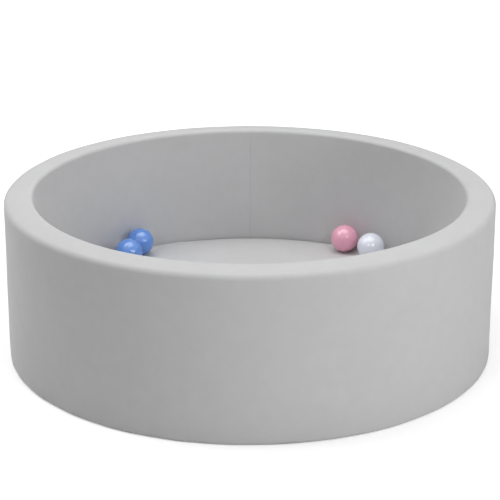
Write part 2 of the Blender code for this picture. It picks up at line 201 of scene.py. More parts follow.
class ShaderTree(NodeTree):
    """A material's node tree with one Principled shader."""

    def __init__(self, name: str) -> None:
        """Make a material.

        Args:
            name: Its name.
        """
        self.material = bpy.data.materials.new(name)
        self.material.use_nodes = True
        super().__init__(self.material.node_tree)

    def place(self) -> Signal:
        """Coordinates in metres in the part's frame."""
        return self.node("ShaderNodeTexCoord", output="Object")

    def flat(self) -> Signal:
        """Coordinates in metres on the flat cloth."""
        return self.node("ShaderNodeUVMap", {"uv_map": FLAT_MAP})

    def between(self, low: Colour, high: Colour, share: Signal) -> Signal:
        """Mix two colours by a share from 0 to 1."""
        return self.node("ShaderNodeMix", {"data_type": "RGBA", "clamp_factor": True},
                         {0: share, 6: (*low, 1.0), 7: (*high, 1.0)}, output=2)

    def scaled(self, where: Signal, factors: Place) -> Signal:
        """Coordinates multiplied along each axis."""
        return self.node("ShaderNodeVectorMath", {"operation": "MULTIPLY"}, {0: where, 1: factors})

    def finish(self, changing: dict[str, Signal], fixed: dict[str, Any]) -> bpy.types.Material:
        """Feed the Principled shader.

        Args:
            changing: Signals by socket name.
            fixed: Plain values by socket name.

        Returns:
            The material.
        """
        shader = self.tree.nodes["Principled BSDF"]
        for name, value in {**changing, **fixed}.items():
            self.feed(shader.inputs[name], value)
        return self.material


@dataclass(frozen=True)
class Grain:
    """Smooth noise from 0 to 1: patches in a metre, octaves of finer noise and how strong those are."""

    scale: float
    detail: float = 2.0
    roughness: float = 0.5

    def over(self, where: Signal) -> Signal:
        """Add the noise.

        Args:
            where: Coordinates in metres.

        Returns:
            The noise there.
        """
        return where.tree.node("ShaderNodeTexNoise", {"noise_dimensions": "3D"},
                               {"Vector": where, "Scale": self.scale, "Detail": self.detail,
                                "Roughness": self.roughness})


@dataclass(frozen=True)
class Ribs:
    """Even ribs from 0 to 1 across one axis: the distance between them and how far they wander."""

    axis: str
    pitch: float
    wander: float
    bands: float = 10.0

    def over(self, where: Signal) -> Signal:
        """Add the ribs.

        Args:
            where: Coordinates in metres.

        Returns:
            The ribs' height there.
        """
        return where.tree.node("ShaderNodeTexWave", {"wave_type": "BANDS", "bands_direction": self.axis},
                               {"Vector": where, "Scale": math.pi / (self.bands * self.pitch),
                                "Distortion": self.wander, "Detail": 1.0, "Detail Scale": 0.6})


# Finishes

@dataclass(frozen=True)
class Surface:
    """What changes over a finish: its tone between two shades, its roughness and its height."""

    tone: Signal
    rough: Signal
    height: Signal


@dataclass(frozen=True)
class Finish(ABC):
    """A finish that several pieces can share: two shades of a colour, with roughness and bump."""

    name: str
    slot: str
    colour: Colour
    shades: tuple[float, float] = (0.84, 1.04)
    bump_strength: float = 0.5
    bump_depth: float = 0.0001

    @abstractmethod
    def surface(self, tree: ShaderTree) -> Surface:
        """Add the nodes for what changes over the finish."""

    @property
    @abstractmethod
    def fixed(self) -> dict[str, Any]:
        """Values of the shader's own sockets."""

    def shade(self, factor: float) -> Colour:
        """The colour made darker or lighter by a factor."""
        return tuple(min(1.0, part * factor) for part in self.colour)

    def material(self) -> bpy.types.Material:
        """Make the finish's material, or find it if it is made.

        Returns:
            The material.
        """
        known = bpy.data.materials.get(self.name)
        if known:
            return known
        tree = ShaderTree(self.name)
        looks = self.surface(tree)
        dark, light = (self.shade(factor) for factor in self.shades)
        normal = tree.node("ShaderNodeBump", None, {
            "Strength": self.bump_strength, "Distance": self.bump_depth, "Height": looks.height})
        return tree.finish({"Base Color": tree.between(dark, light, looks.tone), "Roughness": looks.rough,
                            "Normal": normal}, self.fixed)

    def dress(self, piece: bpy.types.Object) -> None:
        """Give a piece this finish.

        Args:
            piece: The piece.
        """
        piece.data.materials.clear()
        piece.data.materials.append(self.material())


@dataclass(frozen=True)
class VelvetFinish(Finish):
    """Short-pile cloth: brushed patches, fine pile and a soft sheen."""

    shades: tuple[float, float] = (0.955, 1.045)
    bump_strength: float = 0.22
    bump_depth: float = 0.0005
    roughness: float = 0.86
    patches: Grain = Grain(8.0, 3.0, 0.55)
    mottle: Grain = Grain(42.0, 4.0, 0.62)
    pile: Grain = Grain(1100.0, 2.0, 0.6)
    fibres: Grain = Grain(1600.0, 1.0)
    fibre_stretch: float = 0.28
    ribs: Ribs = Ribs("X", 0.0011, 1.2)

    def surface(self, tree: ShaderTree) -> Surface:
        """Nap patches in the colour, and pile and knit ribs in the bump.

        Args:
            tree: The material's tree.

        Returns:
            The velvet's surface.
        """
        where, flat = tree.place(), tree.flat()
        patches, mottle, pile = (grain.over(where) for grain in (self.patches, self.mottle, self.pile))
        fibres = self.fibres.over(tree.scaled(flat, (1.0, self.fibre_stretch, 1.0)))
        tone = patches * 0.9 + mottle * 0.9 + pile * 0.25 + fibres * 0.15 - 0.6
        height = pile * 0.5 + fibres * 0.2 + self.ribs.over(flat) * 0.03 + mottle * 0.9
        return Surface(tone, self.roughness + patches * 0.1, height)

    @property
    def fixed(self) -> dict[str, Any]:
        """A soft white sheen and hardly any gloss."""
        return {"Sheen Weight": 0.35, "Sheen Roughness": 0.45, "Specular IOR Level": 0.15,
                "Sheen Tint": WHITE}


@dataclass(frozen=True)
class WovenFinish(Finish):
    """Woven cloth with a faint twill, such as a zip's tape or a backing cloth."""

    shades: tuple[float, float] = (0.86, 1.08)
    bump_depth: float = 0.0002
    roughness: float = 0.8
    pitch: float = 0.0007
    weft_share: float = 0.8
    twill_share: float = 1.6
    dust: Grain = Grain(60.0, 4.0, 0.6)
    lint: Grain = Grain(1500.0, 1.0)

    def surface(self, tree: ShaderTree) -> Surface:
        """Warp and weft ribs in the bump, and a little dust in the colour.

        Args:
            tree: The material's tree.

        Returns:
            The cloth's surface.
        """
        where, flat = tree.place(), tree.flat()
        warp = Ribs("X", self.pitch, 0.3).over(flat)
        weft = Ribs("Y", self.pitch * self.weft_share, 0.3).over(flat)
        twill = Ribs("DIAGONAL", self.pitch * self.twill_share, 0.2).over(flat)
        weave, dust, lint = warp * weft, self.dust.over(where), self.lint.over(where)
        return Surface(weave * 0.5 + dust * 0.55 + lint * 0.2, self.roughness + dust * 0.12,
                       weave * 0.6 + twill * 0.25 + lint * 0.2)

    @property
    def fixed(self) -> dict[str, Any]:
        """A faint sheen."""
        return {"Sheen Weight": 0.12, "Sheen Roughness": 0.5, "Specular IOR Level": 0.25}


@dataclass(frozen=True)
class FoamFinish(Finish):
    """Cut open-cell foam."""

    bump_strength: float = 0.7
    bump_depth: float = 0.0008
    roughness: float = 0.9
    cell_scale: float = 700.0
    pores: Grain = Grain(420.0, 3.0, 0.7)
    ageing: Grain = Grain(6.0, 3.0)

    def surface(self, tree: ShaderTree) -> Surface:
        """Cells in the bump, and slow yellowing in the colour.

        Args:
            tree: The material's tree.

        Returns:
            The foam's surface.
        """
        where = tree.place()
        cells = tree.node("ShaderNodeTexVoronoi", {"feature": "F1"},
                          {"Vector": where, "Scale": self.cell_scale}, "Distance")
        pores = self.pores.over(where)
        return Surface(self.ageing.over(where) * 0.8 + cells * 0.5, self.roughness + pores * 0.08,
                       cells * 0.7 + pores * 0.5)

    @property
    def fixed(self) -> dict[str, Any]:
        """Hardly any gloss."""
        return {"Specular IOR Level": 0.1}


@dataclass(frozen=True)
class PlasticFinish(Finish):
    """Glossy blow-moulded or matt moulded plastic."""

    shades: tuple[float, float] = (0.97, 1.04)
    bump_strength: float = 0.05
    bump_depth: float = 0.0006
    gloss: float = 0.22
    coat: float = 0.8
    scuffs: float = 0.14
    scuff_stops: tuple[tuple[float, float], ...] = ((0.52, 0.0), (0.74, 1.0))
    scuff_stretch: float = 3.0
    peel: Grain = Grain(260.0, 2.0, 0.4)
    scuff: Grain = Grain(130.0, 5.0, 0.7)
    cloud: Grain = Grain(45.0, 2.0)

    def surface(self, tree: ShaderTree) -> Surface:
        """Orange peel in the bump, and scuffs in the roughness.

        Args:
            tree: The material's tree.

        Returns:
            The plastic's surface.
        """
        where = tree.place()
        scuff = self.scuff.over(tree.scaled(where, (1.0, 1.0, self.scuff_stretch)))
        worn = tree.node("ShaderNodeValToRGB", {"stops": self.scuff_stops}, {"Fac": scuff})
        return Surface(self.cloud.over(where), self.gloss + worn * self.scuffs, self.peel.over(where))

    @property
    def fixed(self) -> dict[str, Any]:
        """A clear glossy skin."""
        return {"Coat Weight": self.coat, "Coat Roughness": 0.13, "Coat IOR": 1.75, "Specular IOR Level": 0.1}


@dataclass(frozen=True)
class MetalFinish(Finish):
    """Die-cast and plated metal."""

    shades: tuple[float, float] = (0.84, 1.12)
    bump_strength: float = 0.12
    roughness: float = 0.24
    brushing: Grain = Grain(5200.0, 2.0)
    brush_stretch: float = 0.12
    rubbing: Grain = Grain(320.0, 4.0, 0.65)

    def surface(self, tree: ShaderTree) -> Surface:
        """Fine brushing and rubbed places.

        Args:
            tree: The material's tree.

        Returns:
            The metal's surface.
        """
        where = tree.place()
        brushed = self.brushing.over(tree.scaled(where, (1.0, 1.0, self.brush_stretch)))
        rubbed = self.rubbing.over(where)
        return Surface(rubbed, self.roughness + rubbed * 0.2 + brushed * 0.06, brushed * 0.6 + rubbed * 0.4)

    @property
    def fixed(self) -> dict[str, Any]:
        """Nearly all metal."""
        return {"Metallic": 0.9}


@dataclass(frozen=True)
class ThreadFinish(Finish):
    """Twisted sewing thread."""

    shades: tuple[float, float] = (0.85, 1.1)
    bump_strength: float = 0.4
    roughness: float = 0.5
    twist: Ribs = Ribs("DIAGONAL", 0.0003, 0.4)
    lint: Grain = Grain(900.0, 2.0)

    def surface(self, tree: ShaderTree) -> Surface:
        """Twist in the bump, and lint in the colour.

        Args:
            tree: The material's tree.

        Returns:
            The thread's surface.
        """
        where = tree.place()
        twist, lint = self.twist.over(where), self.lint.over(where)
        return Surface(lint * 0.6 + twist * 0.4, self.roughness + lint * 0.15, twist)

    @property
    def fixed(self) -> dict[str, Any]:
        """A faint sheen."""
        return {"Sheen Weight": 0.2, "Sheen Roughness": 0.4}


VELVET = VelvetFinish("light_grey_velvet", "cover_cloth", (0.60, 0.60, 0.605))
BACKING = WovenFinish("grey_backing_cloth", "underside_cloth", (0.20, 0.20, 0.205), pitch=0.0012)
FOAM = FoamFinish("cream_cut_foam", "foam", (0.80, 0.76, 0.64))
TAPE = WovenFinish("grey_zip_tape", "zip_tape", (0.50, 0.50, 0.505))
TEETH = PlasticFinish("grey_nylon_teeth", "zip_teeth", (0.44, 0.44, 0.445), gloss=0.38, coat=0.0)
METAL = MetalFinish("grey_zip_metal", "zip_metal", (0.50, 0.50, 0.51))
THREAD = ThreadFinish("grey_sewing_thread", "zip_tape", (0.52, 0.52, 0.525))


# Mesh building

def set_all(target: Any, **settings: Any) -> None:
    """Set several properties of one thing, in the order given."""
    for name, value in settings.items():
        setattr(target, name, value)


def add_object(name: str, data: bpy.types.ID) -> bpy.types.Object:
    """Put a new object into the scene.

    Args:
        name: Its name.
        data: Its mesh, lamp or camera.

    Returns:
        The object.
    """
    made = bpy.data.objects.new(name, data)
    bpy.context.scene.collection.objects.link(made)
    return made


def shade(mesh: bpy.types.Mesh, sharp_deg: float) -> None:
    """Shade a mesh smooth, apart from edges that turn further than an angle."""
    mesh.shade_smooth()
    mesh.set_sharp_from_angle(angle=math.radians(sharp_deg))


def make_piece(name: str, points: np.ndarray, faces: Faces, finish: Optional[Finish] = None,
               flat: Optional[np.ndarray] = None, sharp_deg: float = 40.0) -> bpy.types.Object:
    """Make a smooth-shaded piece from points and faces.

    Args:
        name: The piece's name.
        points: Its points, in the pit's frame.
        faces: Each face's point numbers.
        finish: Its finish.
        flat: The place of each face corner on the flat cloth, in metres.
        sharp_deg: Edges that turn further than this stay sharp.

    Returns:
        The piece.
    """
    mesh = bpy.data.meshes.new(name)
    mesh.from_pydata(np.asarray(points, float).tolist(), [], faces)
    layer = mesh.uv_layers.new(name=FLAT_MAP)
    if flat is not None:
        layer.data.foreach_set("uv", np.asarray(flat, np.float32).ravel())
    mesh.validate()
    shade(mesh, sharp_deg)
    piece = add_object(name, mesh)
    if finish:
        finish.dress(piece)
    return piece


def freeze(piece: bpy.types.Object) -> bpy.types.Object:
    """Replace a piece's mesh by what its modifiers make of it.

    Args:
        piece: The piece.

    Returns:
        The piece.
    """
    bpy.context.view_layer.update()
    made = bpy.data.meshes.new_from_object(piece.evaluated_get(bpy.context.evaluated_depsgraph_get()))
    piece.modifiers.clear()
    piece.data = made
    return piece


def thicken(piece: bpy.types.Object, thickness: float) -> None:
    """Give a cloth surface its thickness, on its inner side."""
    set_all(piece.modifiers.new("cloth_thickness", "SOLIDIFY"), thickness=thickness, offset=-1.0,
            use_even_offset=True)


class Work(Enum):
    """What a tool does to a piece."""

    JOIN = "UNION"
    CUT = "DIFFERENCE"


def work_with(piece: bpy.types.Object, tools: Sequence[bpy.types.Object], work: Work) -> bpy.types.Object:
    """Join tools on to a piece, or cut them from it, and delete them.

    Args:
        piece: The piece that stays.
        tools: The shapes to join or cut.
        work: Which of the two.

    Returns:
        The piece.
    """
    for tool in tools:
        set_all(piece.modifiers.new(tool.name, "BOOLEAN"), object=tool, operation=work.value, solver="EXACT")
    freeze(piece)
    for tool in tools:
        bpy.data.objects.remove(tool, do_unlink=True)
    return piece


def points_of(mesh: bpy.types.Mesh) -> np.ndarray:
    """Read a mesh's points.

    Args:
        mesh: The mesh.

    Returns:
        An array of rows of three.
    """
    points = np.zeros(len(mesh.vertices) * 3)
    mesh.vertices.foreach_get("co", points)
    return points.reshape(-1, 3)


def turned(radius: Any, bearing: Any, height: Any) -> np.ndarray:
    """Points from their distances from the pit's axis, bearings and heights."""
    return np.stack(np.broadcast_arrays(radius * np.cos(bearing), radius * np.sin(bearing), height), axis=-1)


def whole_turn(count: int, shift: float = 0.0) -> np.ndarray:
    """Bearings spaced evenly round a whole turn, shifted by a share of their spacing."""
    return (np.arange(count) + shift) * WHOLE_TURN / count


def grid_faces(rows: int, columns: int, wrap_rows: bool = False, wrap_columns: bool = False) -> np.ndarray:
    """Quads of a grid whose points run along each row in turn.

    Args:
        rows: Rows of points.
        columns: Points in a row.
        wrap_rows: The last row joins the first.
        wrap_columns: The last column joins the first.

    Returns:
        An array of four point numbers for each quad.
    """
    row = np.arange(rows if wrap_rows else rows - 1)[:, None]
    column = np.arange(columns if wrap_columns else columns - 1)[None, :]
    above, beside = (row + 1) % rows, (column + 1) % columns
    corners = (row * columns + column, row * columns + beside,
               above * columns + beside, above * columns + column)
    return np.stack(np.broadcast_arrays(*corners), axis=-1).reshape(-1, 4)


def swept_faces(rows: int, columns: int, closed: bool, whole: bool) -> Faces:
    """Faces of an outline swept about the axis.

    Args:
        rows: Points of the outline.
        columns: Places that it is swept through.
        closed: The outline's last point joins its first.
        whole: The sweep closes on itself; otherwise its two ends get flat faces.

    Returns:
        The faces.
    """
    faces: Faces = grid_faces(rows, columns, closed, whole).tolist()
    if not whole:
        faces.append([row * columns for row in range(rows)])
        faces.append([row * columns + columns - 1 for row in reversed(range(rows))])
    return faces


def gather(shapes: Sequence[Shape]) -> Shape:
    """Put several shapes together.

    Args:
        shapes: Each shape's points and faces.

    Returns:
        All their points and faces.
    """
    faces: Faces = []
    total = 0
    for points, sides in shapes:
        faces += [[total + corner for corner in side] for side in sides]
        total += len(points)
    return np.concatenate([points for points, _ in shapes]), faces


def ease(value: np.ndarray) -> np.ndarray:
    """A smooth step from 0 to 1."""
    held = np.clip(value, 0.0, 1.0)
    return held * held * (3.0 - 2.0 * held)


def hump(distance: np.ndarray, width: float) -> np.ndarray:
    """A smooth hump of height 1 round zero."""
    return np.exp(-(distance / width) ** 2)


@dataclass(frozen=True)
class SoftNoise:
    """Smooth unevenness from -depth to depth that closes on itself round the pit."""

    depth: float
    seed: int
    around: int
    along: int

    def sample(self, turn: np.ndarray, share: np.ndarray) -> np.ndarray:
        """Sample the unevenness.

        Args:
            turn: Places round the pit, in turns.
            share: Places along the section, from 0 to 1.

        Returns:
            The unevenness at each place.
        """
        grid = np.random.default_rng(self.seed).uniform(-1.0, 1.0, (self.around, self.along + 1))
        across = (turn % 1.0) * self.around
        down = np.clip(share, 0.0, 1.0) * self.along
        first = np.floor(across).astype(int) % self.around
        low = np.minimum(np.floor(down).astype(int), self.along - 1)
        blend_across, blend_down = ease(across - np.floor(across)), ease(down - low)
        second = (first + 1) % self.around
        near = grid[first, low] * (1.0 - blend_across) + grid[second, low] * blend_across
        far = grid[first, low + 1] * (1.0 - blend_across) + grid[second, low + 1] * blend_across
        return self.depth * (near * (1.0 - blend_down) + far * blend_down)


def tube(path: np.ndarray, reference: np.ndarray, radii: np.ndarray, sides: int) -> Shape:
    """A closed tube along a path.

    Args:
        path: Points along the middle.
        reference: A direction at each point that isn't along the path.
        radii: The tube's radius at each point.
        sides: Sides of the tube.

    Returns:
        The tube's points and faces.
    """
    along = np.gradient(path, axis=0)
    along /= np.linalg.norm(along, axis=1, keepdims=True)
    across = np.cross(along, reference)
    across /= np.linalg.norm(across, axis=1, keepdims=True)
    upward = np.cross(across, along)
    angles = whole_turn(sides)[None, :, None]
    ring = np.cos(angles) * across[:, None, :] + np.sin(angles) * upward[:, None, :]
    points = path[:, None, :] + ring * radii[:, None, None]
    last = (len(path) - 1) * sides
    faces: Faces = grid_faces(len(path), sides, wrap_columns=True).tolist()
    faces += [list(reversed(range(sides))), list(range(last, last + sides))]
    return points.reshape(-1, 3), faces


def tidy_normals(piece: bpy.types.Object) -> bpy.types.Object:
    """Merge points that coincide and turn every face outwards.

    Args:
        piece: The piece.

    Returns:
        The piece.
    """
    shape = bmesh.new()
    shape.from_mesh(piece.data)
    bmesh.ops.remove_doubles(shape, verts=shape.verts, dist=1e-6)
    bmesh.ops.recalc_face_normals(shape, faces=shape.faces)
    shape.to_mesh(piece.data)
    shape.free()
    return piece


def lathe(name: str, outline: np.ndarray, angles: np.ndarray, finish: Optional[Finish],
          whole: bool = True) -> bpy.types.Object:
    """Turn an outline about the pit's axis, or about Z at the origin.

    Args:
        name: The piece's name.
        outline: (radius, height) points; it closes on itself unless both ends are on the axis.
        angles: The columns' angles.
        finish: The piece's finish.
        whole: The turn closes on itself.

    Returns:
        The piece.
    """
    points = turned(outline[:, :1], angles[None, :], outline[:, 1:])
    closed = outline[0, 0] > 0.0 or outline[-1, 0] > 0.0
    faces = swept_faces(len(outline), len(angles), closed, whole)
    return tidy_normals(make_piece(name, points.reshape(-1, 3), faces, finish))


def zip_strip(name: str, outline: Outline, side: ZipSide, angles: np.ndarray,
              finish: Finish) -> bpy.types.Object:
    """A strip of cloth along one side of the zip, with its flat map.

    Args:
        name: The piece's name.
        outline: Its section as (radius, distance from the zip's middle).
        side: The side of the zip.
        angles: The columns' angles.
        finish: The cloth.

    Returns:
        The strip.
    """
    table = np.array([(radius, ZIP_HEIGHT + side.value * away) for radius, away in outline])
    piece = lathe(name, table, angles, finish, whole=False)
    mesh = piece.data
    points = points_of(mesh)
    corners = np.zeros(len(mesh.loops), np.int32)
    mesh.loops.foreach_get("vertex_index", corners)
    run = np.arctan2(points[:, 1], points[:, 0]) * PIT_RADIUS
    flat = np.stack([run, points[:, 2]], axis=1)[corners]
    mesh.uv_layers[FLAT_MAP].data.foreach_set("uv", flat.astype(np.float32).ravel())
    return piece


def arc_points(centre: tuple[float, float], radius: float, first_deg: float, last_deg: float,
               steps: int) -> Outline:
    """Points on an arc of an outline, ends included."""
    angles = np.radians(np.linspace(first_deg, last_deg, steps + 1))
    return [(centre[0] + radius * math.cos(angle), centre[1] + radius * math.sin(angle)) for angle in angles]


def rounded_box(low: tuple[float, float], high: tuple[float, float], edge: float) -> Outline:
    """The outline of a box with round corners.

    Args:
        low: Its lowest corner.
        high: Its highest corner.
        edge: The corners' radius.

    Returns:
        The outline.
    """
    left, bottom, right, top = low[0] + edge, low[1] + edge, high[0] - edge, high[1] - edge
    outline: Outline = []
    for number, corner in enumerate(((right, top), (left, top), (left, bottom), (right, bottom))):
        outline += arc_points(corner, edge, 90.0 * number, 90.0 * (number + 1), 3)
    return outline


class Lie(Enum):
    """How a plate lies: where its across, outline's first and outline's second sizes go in (x, y, z)."""

    FACING_OUT = (2, 0, 1)
    ON_EDGE = (1, 0, 2)
    END_ON = (0, 2, 1)

    def place(self, first: float, second: float, across: float) -> Vector:
        """A point of the plate, with x outwards, y along the zip and z up."""
        return Vector([(first, second, across)[number] for number in self.value])


def plate(name: str, outlines: Sequence[Outline], low: float, high: float, lie: Lie,
          edge: float) -> bpy.types.Object:
    """A flat plate with rounded edges.

    Args:
        name: The shape's name.
        outlines: Its outline, then any holes.
        low: Where the plate starts, across its plane.
        high: Where it ends.
        lie: How it lies.
        edge: The edges' rounding.

    Returns:
        The plate.
    """
    shape = bmesh.new()
    edges = []
    for outline in outlines:
        corners = [shape.verts.new(lie.place(first, second, low)) for first, second in outline]
        edges += [shape.edges.new(pair) for pair in zip(corners, corners[1:] + corners[:1])]
    bmesh.ops.triangle_fill(shape, edges=edges, use_beauty=True, use_dissolve=True)
    raised = [item for item in bmesh.ops.extrude_face_region(shape, geom=shape.faces[:])["geom"]
              if isinstance(item, bmesh.types.BMVert)]
    bmesh.ops.translate(shape, verts=raised, vec=lie.place(0.0, 0.0, high) - lie.place(0.0, 0.0, low))
    bmesh.ops.recalc_face_normals(shape, faces=shape.faces)
    mesh = bpy.data.meshes.new(name)
    shape.to_mesh(mesh)
    shape.free()
    piece = add_object(name, mesh)
    set_all(piece.modifiers.new("edges", "BEVEL"), width=edge, segments=2, limit_method="ANGLE",
            angle_limit=math.radians(50.0))
    return freeze(piece)


def report(piece: bpy.types.Object) -> None:
    """Log a piece's name, its faces and its size in millimetres.

    Args:
        piece: The piece.
    """
    corners = np.array([tuple(corner) for corner in piece.bound_box]) * 1000.0
    size = corners.max(axis=0) - corners.min(axis=0)
    LOG.info("%s: %d faces, %.0f x %.0f x %.0f mm", piece.name, len(piece.data.polygons), *size)


def declare(piece: bpy.types.Object, body: str, node: Optional[str] = None) -> None:
    """Let a piece ride on a body and stand for a CAD node, and report it.

    Args:
        piece: The piece.
        body: The body that carries it.
        node: The CAD node that it stands for.
    """
    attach(piece, body)
    if node:
        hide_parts(node)
    report(piece)


# Wall: cloth and foam

@dataclass(frozen=True)
class Stations:
    """Sampled places along a section, with the cloth's outward direction at each."""

    radius: np.ndarray
    height: np.ndarray
    out: np.ndarray
    up: np.ndarray

    @property
    def length(self) -> np.ndarray:
        """Running length along the section."""
        steps = np.hypot(np.diff(self.radius), np.diff(self.height))
        return np.concatenate([[0.0], np.cumsum(steps)])

    @property
    def outermost(self) -> np.ndarray:
        """Which places are on the upright outer side."""
        return self.radius > PIT_RADIUS - NEARLY


@dataclass(frozen=True)
class WallSection:
    """The wall's section: base round, outer side, rim and inner side."""

    outer_round: float = 0.011
    inner_round: float = 0.006
    base_round: float = 0.007
    slope_deg: float = 9.5
    tuck_deg: float = 75.0
    foot: float = 0.0640
    foot_close: float = 0.018
    spacing: float = 0.009
    hem_rows: tuple[float, ...] = (0.0, 0.0003, 0.0008, 0.0014, 0.0019, 0.0025, 0.0031, 0.0037, 0.005, 0.007)

    @property
    def top_start(self) -> float:
        """Distance from the axis at which the outer round passes into the rim's sloping top."""
        return PIT_RADIUS - self.outer_round * (1.0 - math.sin(math.radians(self.slope_deg)))

    @property
    def top_reach(self) -> float:
        """Width of the rim's top between its two rounds."""
        return self.top_start - INNER_RADIUS - self.inner_round

    @property
    def top_rise(self) -> float:
        """How far the rim's top rises towards the inside."""
        return self.top_reach * math.tan(math.radians(self.slope_deg)) / 2.0

    @property
    def outer_centre(self) -> tuple[float, float]:
        """The middle of the outer round."""
        drop = self.top_rise + self.outer_round * math.cos(math.radians(self.slope_deg))
        return PIT_RADIUS - self.outer_round, PIT_HEIGHT - drop

    def stations(self) -> Stations:
        """Sample the whole section, from the tucked edge to the floor seam.

        Returns:
            The places.
        """
        base = (PIT_RADIUS - self.base_round, self.base_round)
        inner = (INNER_RADIUS + self.inner_round, PIT_HEIGHT - self.inner_round)
        rows = self._arc(base, self.base_round, -self.tuck_deg, 0.0, 6)
        rows += [(PIT_RADIUS, height, 1.0, 0.0) for height in self.outer_heights()]
        rows += self._arc(self.outer_centre, self.outer_round, 0.0, 90.0 - self.slope_deg, 8)
        rows += self._top(7)
        rows += self._arc(inner, self.inner_round, 90.0, 180.0, 6)
        rows += [(INNER_RADIUS, height, -1.0, 0.0) for height in self.inner_heights()]
        return Stations(*np.array(rows).T)

    def outer_heights(self) -> np.ndarray:
        """Place the rows up the outer side, close together by the zip.

        Returns:
            Their heights.
        """
        low, high = ZIP_HEIGHT - SLOT_HALF, ZIP_HEIGHT + SLOT_HALF
        near = np.array(self.hem_rows)
        top, start = self.outer_centre[1], high + near[-1]
        rest = np.linspace(start, top, round((top - start) / self.spacing) + 1)[1:-1]
        return np.concatenate([(low - near)[::-1], [ZIP_HEIGHT], high + near, rest])

    def inner_heights(self) -> np.ndarray:
        """Place the rows down the inner side, close together by the floor seam.

        Returns:
            Their heights.
        """
        top, close = PIT_HEIGHT - self.inner_round, self.foot + self.foot_close
        steps = round((top - close) / self.spacing)
        return np.concatenate([np.linspace(top, close, steps + 1)[1:], np.linspace(close, self.foot, 6)[1:]])

    def _arc(self, centre: tuple[float, float], radius: float, first_deg: float, last_deg: float,
             steps: int) -> list[Row]:
        """Rows of a round, ends included."""
        ways = arc_points((0.0, 0.0), 1.0, first_deg, last_deg, steps)
        return [(centre[0] + radius * out, centre[1] + radius * up, out, up) for out, up in ways]

    def _top(self, steps: int) -> list[Row]:
        """Sample the rim's top, which falls towards the outside.

        Args:
            steps: Steps between its ends.

        Returns:
            Its rows without its ends.
        """
        rows: list[Row] = []
        for left in 1.0 - np.linspace(0.0, 1.0, steps + 1)[1:-1]:
            lean = math.atan(math.tan(math.radians(self.slope_deg)) * left)
            rows.append((self.top_start - self.top_reach * (1.0 - left),
                         PIT_HEIGHT - self.top_rise * left ** 2, math.sin(lean), math.cos(lean)))
        return rows


